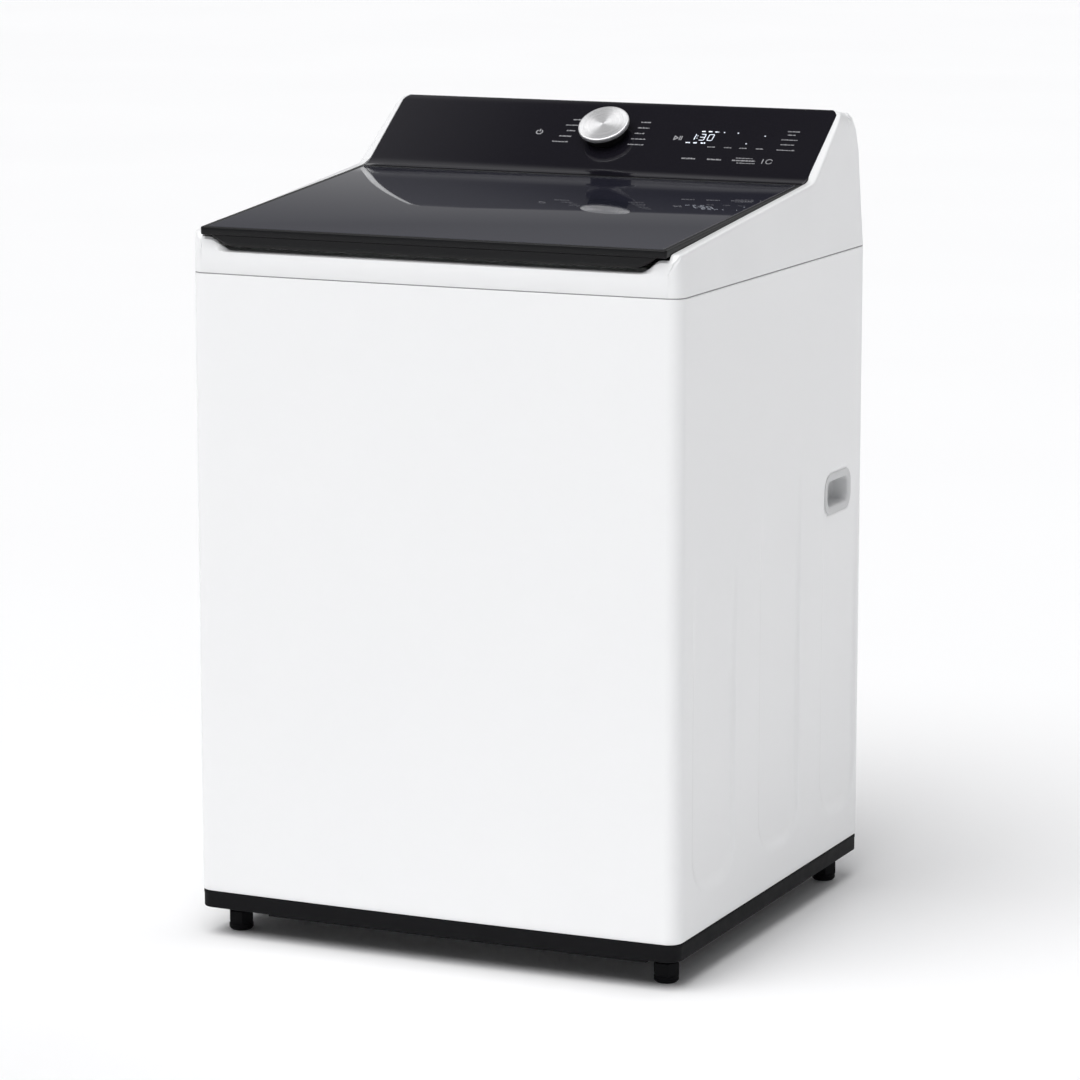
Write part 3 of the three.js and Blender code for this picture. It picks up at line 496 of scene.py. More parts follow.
FINISHES = {
    "white_steel": white_enamel(),
    "white_plastic": moulded("white_moulding", (0.86, 0.865, 0.87), 0.32, 60, 0.03, coat=0.2),
    "grey_plastic": moulded("grey_moulding", (0.5, 0.51, 0.52), 0.45),
    "black_plastic": moulded("black_moulding", (0.0095, 0.0095, 0.0105), 0.6, shine=0.05),
    "black_gloss": gloss_black(),
    "tinted_glass": smoked_glass(),
    "brushed_aluminium": spun_aluminium(),
    "cast_aluminium": cast_metal(),
    "stainless": sheet_steel("stainless_sheet", (0.66, 0.67, 0.68), 0.24),
    "galvanised": galvanised(),
    "spring_steel": sheet_steel("spring_wire", (0.32, 0.33, 0.34), 0.35),
    "tub_plastic": moulded("tub_moulding", (0.66, 0.665, 0.67), 0.5, 300, 0.12),
    "rubber": moulded("seal_rubber", (0.02, 0.02, 0.02), 0.75, 400, 0.2),
    "circuit": solder_mask(),
    "copper_winding": wound_copper(),
}
LIP_BLACK = moulded("lip_black", (0.006, 0.006, 0.0068), 0.34, shine=0.2)
PRINT = printed("panel_print", (0.42, 0.42, 0.44))
GLOW = printed("display_glow", (0.85, 0.9, 1.0), 0.9)
# dark grey of the painted seam shadow: the strip stands in for the shade in the gap between cabinet and top cover
SEAM_SHADOW_GREY = moulded("seam_shadow_grey", (0.3, 0.3, 0.305), 0.7)
GRIP_GREY = moulded("grip_grey", (0.62, 0.625, 0.63), 0.4)


def smooth_step(t):
    t = max(0.0, min(1.0, t))
    return t * t * (3 - 2 * t)


def blend_points(first, second, t):
    return [tuple(a + (b - a) * t for a, b in zip(p, q)) for p, q in zip(first, second)]


def spaced(start, end, step):
    count = max(1, round(abs(end - start) / step))
    return [start + (end - start) * i / count for i in range(count + 1)]


# ---- cabinet ----
RIBS = [(-272, -135, 600), (-45, 92, 680), (180, 307, 620)]
RIB_LOW = 118
RIB_CORNER = 46
RIB_EDGE = 6.5
RIB_DEPTH = 3.2
RIB_FADE = 280  # the height over which a rib fades away at its top


def pressed(y, z):
    """How far the side sheet is stamped in at this place."""
    deepest = 0.0
    for y0, y1, top in RIBS:
        across = abs(y - (y0 + y1) / 2) - ((y1 - y0) / 2 - RIB_CORNER)
        down = RIB_LOW + RIB_CORNER - z
        away = math.hypot(max(across, 0), max(down, 0)) + min(max(across, down), 0) - RIB_CORNER
        fade = 1 - smooth_step((z - top + RIB_FADE) / RIB_FADE)
        deepest = max(deepest, smooth_step(0.5 - away / RIB_EDGE) * fade)
    return RIB_DEPTH * deepest


def wrap_path():
    """Plan of the bent sheet, open at the back, as (x, y, outward x, outward y)."""
    flange = 24
    left = [(flange - HALF, REAR, 0, 1)]

    def turn(cy, r, start, steps):
        cx = r - HALF
        for x, y in arc(cx, cy, r, start, start + 90, steps):
            left.append((x, y, (x - cx) / r, (y - cy) / r))

    turn(REAR - REAR_CORNER, REAR_CORNER, 90, 5)
    for y in spaced(REAR - REAR_CORNER, FRONT + FRONT_CORNER, 3.5)[1:-1]:
        left.append((-HALF, y, -1, 0))
    turn(FRONT + FRONT_CORNER, FRONT_CORNER, 180, 12)
    straight = HALF - FRONT_CORNER
    front = [(u * straight, FRONT - BOW * (1 - u * u), 0, -1) for u in spaced(-1, 1, 1 / 12)[1:-1]]
    return left + front + [(-x, y, -nx, ny) for x, y, nx, ny in reversed(left)]


def grip_outline(node, grow):
    low, high = box(node)
    return rounded(low.y - grow, high.y + grow, low.z - grow, high.z + grow, 20 + grow, 8)


def inside(point, outline):
    found = False
    for i, (bx, by) in enumerate(outline):
        ax, ay = outline[i - 1]
        if (ay > point[1]) != (by > point[1]):
            if point[0] < (bx - ax) * (point[1] - ay) / (by - ay) + ax:
                found = not found
    return found


def nearest(point, outline):
    best, where = 1e9, point
    for i, b in enumerate(outline):
        a, p = Vector(outline[i - 1]), Vector(point)
        along = Vector(b) - a
        t = max(0, min(1, (p - a).dot(along) / max(along.length_squared, 1e-12)))
        on = a + along * t
        if (on - p).length < best:
            best, where = (on - p).length, on
    return where


def cabinet_shell():
    low, high = WRAP_LOW.z, WRAP_HIGH.z
    levels = [(low, 1.0), (low + 0.3 * GROOVE, 0.35), (low + GROOVE, 0.0)]
    levels += [(z, 0.0) for z in spaced(low + GROOVE, high - 1.6 * SEAM_HALF, 6)[1:]]
    levels += [(high - 0.9 * SEAM_HALF, 0.2), (high - 0.7 * SEAM_HALF, 1.0), (high, 1.0)]
    path = wrap_path()
    hole = grip_outline("side_grip_right", 0.0)
    rows = []
    for z, rolled in levels:
        row = []
        for x, y, nx, ny in path:
            inward = rolled * GROOVE + (pressed(y, z) if abs(nx) > 0.99 else 0)
            row.append(Vector((x - nx * inward, y - ny * inward, z)))
        rows.append(row)

    def in_hole(i, j):
        corners = [rows[i][j], rows[i][j + 1], rows[i + 1][j], rows[i + 1][j + 1]]
        if abs(corners[0].x) < HALF - 5:
            return False
        middle = sum(corners, Vector()) / 4
        return inside((middle.y, middle.z), hole)

    holes = {(i, j) for i in range(len(rows) - 1) for j in range(len(path) - 1) if in_hole(i, j)}
    for i, j in holes:
        for a, b in ((i, j), (i, j + 1), (i + 1, j), (i + 1, j + 1)):
            around = [(a - 1, b - 1), (a - 1, b), (a, b - 1), (a, b)]
            if not all(cell in holes for cell in around):
                on = nearest((rows[a][b].y, rows[a][b].z), hole)
                rows[a][b] = Vector((rows[a][b].x, on.x, on.y))
    shape = Shape().grid(rows, skip=lambda i, j: (i, j) in holes)
    shell = shape.piece("cabinet_shell", "cabinet", "white_steel", ["cabinet_wrap"])
    sheet = shell.modifiers.new("sheet", "SOLIDIFY")
    sheet.thickness = 0.8 * MM
    sheet.offset = -1


def seam_shadow_strip():
    """A thin grey strip in the seam between the cabinet and the top cover: painted shade, a dark sheet standing in
    for the shadow in the seam's gap.
    """
    shape = Shape()
    outer, inner = inset(plan(), 0.5), inset(plan(), 4)
    shape.rim(outer, inner, flat, SEAM - SEAM_HALF, SEAM + SEAM_HALF)
    shape.piece("seam_shadow_strip", "cabinet", "rubber", material=SEAM_SHADOW_GREY)


def gussets():
    shape = Shape()
    for corner in CORNERS:
        x, y = centre(f"suspension_rod_{corner}")
        sx, sy = math.copysign(1, x), math.copysign(1, y)
        wall_x, wall_y = sx * (HALF - 1.5), sy * (REAR - 1.5)
        corner_cut, leg = 20, 92
        outline = [
            (wall_x, wall_y - sy * leg),
            (wall_x, wall_y - sy * corner_cut),
            (wall_x - sx * corner_cut, wall_y),
            (wall_x - sx * leg, wall_y),
        ]
        if sx * sy < 0:
            outline.reverse()
        shape.plate(outline, flat, 850, 852, 0.6, 2)
    shape.piece("corner_gussets", "cabinet", "galvanised")


def side_grip(name, sign):
    node = f"side_grip_{name}"
    outline = grip_outline(node, 1.4)
    place = on_side(sign)
    low, high = box(node)
    depth = high.x - low.x
    steps = [
        (0, -3), (0, 0.1), (0.5, 0.5), (1.2, 0.6), (8.6, 0.6), (9.6, 0.3), (10.6, -0.6), (11.2, -2),
        (12, -0.75 * depth), (13.5, -0.9 * depth), (17, 0.6 - depth), (19, 0.5 - depth),
    ]
    rings = [[place(u, v, w) for u, v in inset(outline, d)] for d, w in [(9, -3)] + steps]
    shape = Shape().grid(rings, around=True)
    shape.face(rings[-1])
    shape.piece(f"hand_{node}", "cabinet", "grey_plastic", [node], material=GRIP_GREY)


# ---- base and feet ----
def base_skirt():
    shape = Shape()
    band, brace = 42, 70
    outer = plan(-1)
    ix, front, rear = HALF - band, FRONT + band, REAR - band
    octagon = [
        (ix, front + brace), (ix, rear - brace), (ix - brace, rear), (brace - ix, rear),
        (-ix, rear - brace), (-ix, front + brace), (brace - ix, front), (ix - brace, front),
    ]

    def pull_in(x, y):
        low, high = 0.2, 1.0
        for _ in range(24):
            middle = (low + high) / 2
            low, high = (middle, high) if inside((x * middle, y * middle), octagon) else (low, middle)
        return (x * low, y * low)

    inner = [pull_in(x, y) for x, y in outer]
    top, bottom = BASE_TOP, BASE_TOP - 22.7
    section = [(1.6, bottom), (0.5, bottom + 0.5), (0, bottom + 1.6), (0, top - 5), (-0.5, top - 4.2)]
    section += [(-0.5, top - 1), (0.2, top)]
    rings = [(inset(outer, d), z) for d, z in section] + [(inner, top), (inner, bottom)]
    shape.grid([[flat(x, y, z) for x, y in outline] for outline, z in rings], around=True, loop=True)
    lip_y = FRONT + 2
    shape.block(-240, 300, lip_y, lip_y + 6, bottom - 3, bottom + 1, 1)
    boss = [(8, 28.2), (16, 28.2), (17.5, 29), (18, 31), (21, 37.5), (22, 39.3), (8, 39.3)]
    for corner in CORNERS:
        shape.turned(boss, 32, *centre(f"foot_{corner}"))
    shape.piece("base_skirt", "cabinet", "black_plastic", ["base_frame"])


def levelling_foot(corner):
    node = f"foot_{corner}"
    x, y = centre(node)
    shape = Shape()
    pad = [(0, 0), (11.5, 0), (13.5, 0.6), (15, 2), (16, 3.6), (16, 5), (15.3, 5.4), (15.3, 6)]
    pad += [(16, 6.4), (16, 8.4), (15, 9.6), (0, 9.6)]
    shape.turned(pad, 48, x, y, closed=False)
    hexagon = [(x + u, y + v) for u, v in circle(0, 0, 17.5, 6)]
    shape.plate(hexagon, flat, 9.2, 26.8, 1.3, 3)
    low, high, pitch = 26, 56, 1.5
    thread = [(0, low)]
    for k in range(20):
        thread += [(4.6, low + pitch * k), (5.6, low + 0.7 + pitch * k)]
    thread += [(4.6, high), (0, high)]
    shape.turned(thread, 20, x, y, closed=False)
    shape.piece(f"levelling_{node}", node, "black_plastic", [node])


# ---- top cover ----
def front_y(x):
    """The front edge of the plan at this x."""
    straight = HALF - FRONT_CORNER
    if abs(x) <= straight:
        return FRONT - BOW * (1 - (x / straight) ** 2)
    return FRONT + FRONT_CORNER - math.sqrt(max(FRONT_CORNER**2 - (abs(x) - straight) ** 2, 0))


SEAM_HEM = [(GROOVE, 0), (GROOVE, 0.7 * SEAM_HALF), (0.2 * GROOVE, 0.9 * SEAM_HALF)]  # (inset, rise)


def fascia(shape):
    """The front band from the seam over the finger scoop to the deck."""
    end = [(-3.6, 918), (-1.6, 926.5), (1.2, 929.6), (5, 929.4), (12, 924), (20, 917), (33, 909)]
    end += [(41, 906.5)]
    scoop = [(3, 913.2), (5.5, 913.9), (9, 913.2), (15, 910), (22, 907), (32, 905.2), (39, 905.6)]
    scoop += [(43.2, 907.5)]
    wall_end = [(0, 884.6), (0, 903), (0.2, 911), (0.6, 915)]
    wall_scoop = [(0, 884.6), (0, 903), (0.3, 908), (1.2, 911.4)]
    rows = []
    tuck = 1.2
    for x in [-BAY_HALF - tuck] + spaced(-BAY_HALF, BAY_HALF, 3) + [BAY_HALF + tuck]:
        t = 1 - smooth_step((abs(x) - 286) / 30)
        y0 = front_y(x) + (0.8 if abs(x) > BAY_HALF else 0)
        hem = [(x, y0 + out, SEAM + z) for out, z in SEAM_HEM]
        wall = [(x, y0 + u, z) for u, z in blend_points(wall_end, wall_scoop, t)]
        over = [(x, max(FRONT + 4 + u, y0 + 2), z) for u, z in blend_points(end, scoop, t)]
        step = [(x, DECK_FRONT_Y - 0.6, DECK_FRONT_Z), (x, DECK_FRONT_Y + 0.1, DECK_FRONT_Z + 0.01)]
        rows.append(hem + wall + over + step)
    shape.grid(rows)


def rim_line():
    """The side silhouette's upper edge in (y, z), front to rear."""
    corners = [(front_y(BAY_HALF), 914), (-321.5, 927), (-314.5, 936.9, 8), (150, 983.2, 45)]
    corners += [(FACE_END.y, FACE_END.z, 2), (285, 1065.2, 12), (303, 1054.5, 16), (315, 1034, 26)]
    points = filleted(corners + [(321, 1000, 30), (323.6, 900)], 4, 8)
    stops = [FRONT + FRONT_CORNER * (1 - math.cos(math.radians(turn))) for turn in range(12, 90, 6)]
    stops += BAND_ENDS
    dense = []
    for (ay, az), (by, bz) in zip(points, points[1:]):
        cuts = max(1, int(math.hypot(by - ay, bz - az) / 9))
        shares = {k / cuts for k in range(cuts)} | {(y - ay) / (by - ay) for y in stops if ay < y < by}
        dense += [(ay + (by - ay) * t, az + (bz - az) * t) for t in sorted(shares)]
    return dense + [points[-1]]


def outer_x(y, z):
    """The side wall's x at this place: it leans in, and rounds the plan's corners."""
    x = HALF
    if y < FRONT + FRONT_CORNER:
        x = HALF - FRONT_CORNER + math.sqrt(max(FRONT_CORNER**2 - (FRONT + FRONT_CORNER - y) ** 2, 0))
    if y > REAR - REAR_CORNER:
        x = HALF - REAR_CORNER + math.sqrt(max(REAR_CORNER**2 - (y - REAR + REAR_CORNER) ** 2, 0))
    return x - (z - SEAM) * SIDE_LEAN * smooth_step((y - FRONT) / FRONT_CORNER)


def rounded_top(p, side):
    """Rounds the console's upper end where the side meets the top."""
    r = 15
    cx, cz = HALF - (FACE_END.z - SEAM) * SIDE_LEAN - r, FACE_END.z - r
    x, z = abs(p.x), p.z
    if x > cx and z > cz:
        away = math.hypot(x - cx, z - cz)
        if away > r:
            return Vector((side * (cx + (x - cx) * r / away), p.y, cz + (z - cz) * r / away))
    return p


def panel_half(s):
    """The panel's half width at s up its face: its upper corners are round."""
    over = max(0.0, s - (FACE_LENGTH - PANEL_CORNER))
    return PANEL_HALF - PANEL_CORNER + math.sqrt(max(PANEL_CORNER**2 - over**2, 0))


def inner_x(y, z):
    """The inner edge of the cheek's rim: beside the lid, the panel, the top band and the back cover."""
    if y > BAND_ENDS[0] + 0.1:
        return outer_x(min(y, REAR - REAR_CORNER), z) - 3.3
    s = (y - FACE_FOOT.y) / FACE_UP.y
    beside_panel = panel_half(min(s, FACE_LENGTH)) + 0.3
    return BAY_HALF + (beside_panel - BAY_HALF) * smooth_step((y - BAY_REAR) / 12)


def cheek(shape, side):
    """One side wall of the top cover, rolled over its upper edge to the bay or the panel."""
    line = rim_line()
    rows = []
    for i, (y, z) in enumerate(line):
        (ay, az), (by, bz) = line[max(i - 1, 0)], line[min(i + 1, len(line) - 1)]
        along = Vector((by - ay, bz - az)).normalized()
        up = Vector((-along.y, along.x))
        console = smooth_step((y - BAY_REAR) / 20)
        inner = inner_x(y, z)
        wide = max(outer_x(min(y, REAR - 1), z) - inner, 0.2)
        roll = min(3, 0.45 * wide)
        depth = max(z - deck_z(y), 4) * (1 - console) + 4.4 * console
        row = []
        foot = SEAM + 1.6 * SEAM_HALF
        flank = [(hem, SEAM + rise, 0) for hem, rise in SEAM_HEM]
        for share in (0, 0.12, 0.3, 0.5, 0.65, 0.78, 0.88, 0.95, 1):
            flank.append((0, foot + (z - up.y * roll - foot) * share, share))
        corner_turn = smooth_step((y - FRONT) / FRONT_CORNER)
        for hem, pz, share in flank:
            py = y - up.x * roll * share**2
            back_in = min(max(py, FRONT), REAR - 0.2)
            px = outer_x(back_in, pz) - hem * (0.3 + 0.7 * corner_turn)
            row.append(Vector((side * px, py + hem * (1 - corner_turn), pz)))
        for turn in (18, 36, 54, 72, 90):
            a = math.radians(turn)
            out, rise = roll * (1 - math.cos(a)), roll * (1 - math.sin(a))
            row.append(Vector((side * (outer_x(y, z) - out), y - up.x * rise, z - up.y * rise)))
        fine = min(1, 0.3 * wide)
        down = Vector((-up.x * console, console * (1 - up.y) - 1))
        for out, drop in ((fine, 0), (0.3 * fine, 0.3 * fine), (0, fine), (0, depth * 0.5), (0, depth)):
            row.append(Vector((side * (inner + out), y + down.x * drop, z + down.y * drop)))
        rows.append([rounded_top(p, side) for p in row])
    shape.grid(rows)


def with_drawer_stop(outline, y):
    """Adds a point to the rear side where the drawer's way out ends."""
    return outline[:17] + [(DRAWER_HIGH.x + 2, y)] + outline[17:]


def mouth(grow):
    half, rear = MOUTH_HALF + grow, MOUTH_REAR + grow
    return with_drawer_stop(rounded(-half, half, MOUTH_FRONT - grow, rear, MOUTH_CORNER + grow, 16), rear)


def at_deck(outline, drop):
    return [Vector((x, y, deck_z(y) - drop)) for x, y in outline]


def drawer_gap(x, y):
    return DRAWER_LOW.x - 2 < x < DRAWER_HIGH.x + 2.1 and y > MOUTH_REAR - 90


def deck(shape):
    """The deck under the lid, with the mouth, its skirt and the drawer's recess."""
    wall, lip = 3, 5
    upper, lower = DRAWER_HIGH.z + 2, DRAWER_LOW.z - 2
    inner, outside = mouth(0), mouth(wall)

    def under_lip(outline):
        return [Vector((x, y, min(upper, deck_z(y) - lip))) for x, y in outline]

    def level(outline, z):
        return [Vector((x, y, z)) for x, y in outline]

    outer = with_drawer_stop(rounded(-BAY_HALF, BAY_HALF, DECK_FRONT_Y, BAY_REAR, 2, 16), BAY_REAR)
    rings = [at_deck(outer, wall), at_deck(outer, 0)]
    for grow, drop in ((6.5, -0.8), (5.5, -1.8), (3.5, -2.2), (1.8, -1.6), (0.5, 0), (0, 2)):
        rings.append(at_deck(mouth(grow), drop))
    rings += [at_deck(inner, lip), under_lip(inner), under_lip(outside), at_deck(outside, wall)]
    shape.grid(rings, around=True, loop=True)
    gapped = [under_lip(inner), level(inner, lower), level(outside, lower), under_lip(outside)]
    shape.grid(gapped, around=True, skip=lambda i, j: i != 1 and drawer_gap(*inner[j]))
    skirt = [level(inner, lower), level(inner, MOUTH_LOW), level(outside, MOUTH_LOW), level(outside, lower)]
    shape.grid(skirt, around=True)
    open_at = [j for j in range(len(inner)) if drawer_gap(*inner[j])]
    edge = [outside[j] for j in open_at] + [outside[open_at[-1] + 1]]
    back, left = DRAWER_LOW.y - 0.5, DRAWER_LOW.x - 2
    for z in (lower, upper):
        near = [Vector((x, min(y, back), z)) for x, y in edge]
        shape.grid([near, [Vector((max(x, left), back, z)) for x, y in edge]])
    x, y = edge[-1]
    shape.grid([[Vector((x, y, z)), Vector((left, back, z))] for z in (lower, upper)])


def bay_rear_wall(shape):
    top = FACE_FOOT.z - 5.2
    low = deck_z(BAY_REAR) - 3
    shape.block(-BAY_HALF, BAY_HALF, BAY_REAR, BAY_REAR + 3, low, top, 0.8)


def top_band(shape):
    """The narrow strip between the panel's upper edge and the back cover."""
    edge = on_face(0, FACE_LENGTH + 0.5, 0)
    rear = BAND_ENDS[0]
    line = [(edge.y + out, edge.z - drop) for out, drop in ((2.4, 3.4), (1, 1.4), (2, 1.2))]
    line += [(277, 1067.4), (rear - 0.6, 1065.3), (rear, 1064.7), (rear, 1061)]
    half = panel_half(FACE_LENGTH) + 0.4
    shape.grid([[Vector((x, y, z)) for y, z in line] for x in spaced(-half, half, 40)])


def top_cover():
    shape = Shape()
    fascia(shape)
    deck(shape)
    bay_rear_wall(shape)
    top_band(shape)
    for side in (-1, 1):
        cheek(shape, side)
    shape.piece("top_cover_moulding", "cabinet", "white_plastic", ["top_cover"], 32)


# ---- console ----
def panel_sections():
    """(point at x = 0, outward normal, half width, thickness) from the top edge to the foot's lip."""
    result = []
    edge, foot, steps, lip = 1, 13, 10, 1.1
    levels = []
    for turn in (0, 30, 60, 90):
        a = math.radians(turn)
        levels.append((FACE_LENGTH - edge * (1 - math.cos(a)), -edge * (1 - math.sin(a))))
    levels += [(s, 0.0) for s in spaced(FACE_LENGTH - edge, FACE_LENGTH - PANEL_CORNER, 1)[1:]]
    levels += [(s, 0.0) for s in spaced(FACE_LENGTH - PANEL_CORNER, foot, 8)[1:]]
    for s, n in levels:
        result.append((on_face(0, s, n), FACE_NORMAL, panel_half(s), PANEL_THICK + n))
    bend = FACE_ANGLE - LID_ANGLE
    radius = foot / math.tan(bend / 2)
    middle = on_face(0, foot, radius)
    for k in range(1, steps + 1):
        a = FACE_ANGLE - bend * k / steps
        normal = Vector((0, -math.sin(a), math.cos(a)))
        thick = PANEL_THICK + (lip - PANEL_THICK) * k / steps
        result.append((middle - normal * radius, normal, PANEL_HALF, thick))
    return result


def console_panel():
    edge = 1.2
    rings = []
    for point, normal, half, thick in panel_sections():
        across = [(-half, -thick)]
        for turn in (0, 30, 60, 90):
            a = math.radians(turn)
            fall = edge * (1 - math.sin(a)) * min(1, thick / 4)
            across.append((-half + edge * (1 - math.cos(a)), -fall))
        across += [(-x, n) for x, n in reversed(across)]
        rings.append([point + Vector((x, 0, 0)) + normal * n for x, n in across])
    Shape().loft(rings).piece("console_fascia", "cabinet", "black_gloss", ["console_panel"])


PRINT_LOW, PRINT_HIGH = -0.05, 0.12  # the print's under and upper side over the console's face


def mark(shape, x0, x1, s0, s1, high=PRINT_HIGH):
    """A thin printed bar on the console's face."""
    corners = ((x0, s0), (x1, s0), (x1, s1), (x0, s1))
    return shape.loft([[on_face(x, s, n) for x, s in corners] for n in (PRINT_LOW, high)])


def arc_mark(shape, cx, cs, r, wide, start, end):
    outer, inner = (arc(cx, cs, r + d, start, end, 20) for d in (wide / 2, -wide / 2))
    printed_ring(shape, outer, inner, False)


def printed_ring(shape, outer, inner, around):
    rings = []
    for outline, n in ((outer, PRINT_LOW), (outer, PRINT_HIGH), (inner, PRINT_HIGH), (inner, PRINT_LOW)):
        rings.append([on_face(x, s, n) for x, s in outline])
    shape.grid(rings, around=around, loop=True)


def words(shape, x0, x1, s, tall, seed):
    """A stand-in for a printed label: a row of small blank strokes, grouped like words."""
    rng = random.Random(seed)
    x = x0
    while x < x1 - 1:
        for _ in range(rng.randint(3, 6)):
            wide = rng.uniform(0.5, 0.95)
            rise = tall * rng.choice((0.7, 0.7, 1.0))
            if x + wide > x1:
                break
            mark(shape, x, x + wide, s, s + rise)
            x += wide + 0.28
        x += 0.9


def panel_print():
    shape = Shape()
    pitch, tall = 11.6, 2.5
    for k in range(5):
        s = KNOB_S + (2 - k) * pitch + 3
        start = KNOB.x - (44, 47, 48, 49, 51)[k]
        words(shape, start - (15, 19, 13, 19, 23)[k], start, s, tall, k)
        start = KNOB.x + (42, 41, 40, 39, 38)[k]
        words(shape, start, start + (14, 17, 15, 21, 23)[k], s, tall, 10 + k)
    arc_mark(shape, -92, KNOB_S - 1, 4.3, 1.5, 125, 415)
    mark(shape, -92.75, -91.25, KNOB_S, KNOB_S + 5)
    play = [(108, -4.2), (108, 4.2), (108.9, 4.4), (115, 0), (108.9, -4.4)]
    core = [(109.2, -2.3), (109.2, 2.3), (109.3, 2.3), (112.6, 0), (109.3, -2.3)]
    raised = [[(x, KNOB_S - 2 + s) for x, s in outline] for outline in (play, core)]
    printed_ring(shape, *raised, True)
    for x in (115.8, 118.4):
        mark(shape, x, x + 1.2, KNOB_S - 6, KNOB_S + 2.2)
    for k, x in enumerate((162, 186, 208, 232)):
        words(shape, x, x + 11, KNOB_S - 18.5, 2, 30 + k)
    for k, (x, s) in enumerate(((266, 19), (268, 12), (262, 2), (264, -8), (262, -19))):
        words(shape, x, x + (18, 11, 24, 20, 26)[k], KNOB_S + s, 2, 40 + k)
    low = KNOB_S - 44
    for k, (x, long) in enumerate(((133, 20), (170, 20), (206, 34))):
        words(shape, x, x + long, low, 3.2, 50 + k)
    words(shape, 210, 236, low + 5.5, 1.6, 55)
    words(shape, 214, 240, low - 4.5, 1.6, 56)
    arc_mark(shape, 259, low + 1.5, 4.4, 1, 20, 340)
    mark(shape, 249, 250.2, low - 3, low + 6)
    shape.piece("panel_print", "cabinet", "black_gloss", material=PRINT)


SEGMENTS = {"0": "abcdef", "1": "bc", "3": "abgcd"}  # the lit bars of each figure shown


def digit(shape, figure, x, s, tall):
    wide, bar, lean = tall * 0.6, tall * 0.06, 0.06
    half = tall / 2
    place = {
        "a": (bar, wide - bar, tall - bar, tall),
        "b": (wide - bar, wide, half, tall - bar),
        "c": (wide - bar, wide, bar, half),
        "d": (bar, wide - bar, 0, bar),
        "e": (0, bar, bar, half),
        "f": (0, bar, half, tall - bar),
        "g": (bar, wide - bar, half - bar / 2, half + bar / 2),
    }
    for segment in SEGMENTS[figure]:
        u0, u1, v0, v1 = place[segment]
        skew = lean * (v0 + v1) / 2
        mark(shape, x + u0 + skew, x + u1 + skew, s + v0, s + v1, 0.15)


def display():
    """The lit figures and lamps behind the console's face."""
    shape = Shape()
    tall = 13
    base = KNOB_S - 5
    for figure, x in (("1", 130), ("3", 144), ("0", 156)):
        digit(shape, figure, x, base, tall)
    for s in (3.6, 8.4):
        mark(shape, 140.4, 141.5, base + s, base + s + 1.1, 0.15)
    for k in range(3):
        words(shape, 144 + 9.5 * k, 150.5 + 9.5 * k, base + 17.5, 2.6, 60 + k)
        words(shape, 128 + 11 * k, 134.5 + 11 * k, base - 6.5, 2.6, 70 + k)
    for x, s in ((176, 12), (196, 12), (236, 8), (214, -9)):
        mark(shape, x, x + 1.5, KNOB_S + s, KNOB_S + s + 1.5)
    shape.piece("display_figures", "cabinet", "black_gloss", material=GLOW)


# ---- knob: local Z runs along its spindle ----
def knob_part(name, profile, slot, node):
    axes = Matrix((Vector((1, 0, 0)), FACE_UP, FACE_NORMAL)).transposed()
    spindle = Matrix.Translation(KNOB * MM) @ axes.to_4x4()
    Shape().turned(profile, 128, closed=False).piece(name, "knob", slot, [node], 25, matrix=spindle)


def knob():
    cap = [(0, 9.3), (12, 9.42), (24, 9.72), (33, 9.98), (33.8, 10), (34.6, 9.75), (35.3, 8.9)]
    cap += [(35.5, 8.2), (35.5, 5.2), (35.1, 4.2), (34.2, 3.6), (33, 3.3), (0, 3.3)]
    knob_part("knob_disc", cap, "brushed_aluminium", "knob_cap")
    collar = [(0, 3), (28, 3), (28.5, 2.5), (28.2, -3), (28.5, -8.4), (28.2, -9.2), (26, -9.4)]
    collar += [(25.5, -2), (0, -2)]
    knob_part("knob_collar", collar, "black_plastic", "knob_skirt")


# ---- lid ----
def on_lid_up(x, y, w):
    return on_lid(x, y, -w)


def lid_frame():
    window = rounded(-250, 250, -268, 66, 30)
    outer = rounded(-LID_HALF, LID_HALF, LID_FRONT, LID_REAR, 4)
    edge = LID_EDGE
    seat = rounded(-LID_HALF + edge, LID_HALF - edge, LID_FRONT + edge, LID_REAR - edge, 3)
    seat_drop = GLASS_THICK + 0.3
    lip = 1.2
    frame_lip = [(lip, LID_THICK), (0.35 * lip, LID_THICK - 0.35 * lip), (0, LID_THICK - lip), (0, lip)]
    rings = [(inset(outer, d), drop) for d, drop in frame_lip + [(0.35 * lip, 0.35 * lip), (lip, 0)]]
    rings += [(inset(seat, -0.4), 0), (seat, 0.4), (seat, seat_drop), (inset(window, 0.4), seat_drop)]
    rings += [(window, seat_drop + 0.4), (window, LID_THICK - 0.6), (inset(window, -0.6), LID_THICK)]
    shape = Shape()
    shape.grid([[on_lid(x, y, drop) for x, y in o] for o, drop in rings], around=True, loop=True)
    for side in (-1, 1):
        ends = [side * 297, side * LID_HALF]
        shape.tube([(x, HINGE.y, HINGE.z) for x in ends], 7.2, 28)
        shape.block(*sorted(ends), HINGE.y - 7, HINGE.y + 7, HINGE.z, lid_z(HINGE.y) - 4.2)
    shape.piece("lid_surround", "lid", "black_plastic", ["lid_frame"], material=LIP_BLACK)


def lid_glass():
    gap = LID_EDGE + 0.3
    outline = rounded(-LID_HALF + gap, LID_HALF - gap, LID_FRONT + gap, LID_REAR - gap, 3)
    shape = Shape().plate(outline, on_lid_up, -GLASS_THICK, 0, 0.7, 4)
    shape.piece("lid_glass_pane", "lid", "tinted_glass", ["lid_glass"])


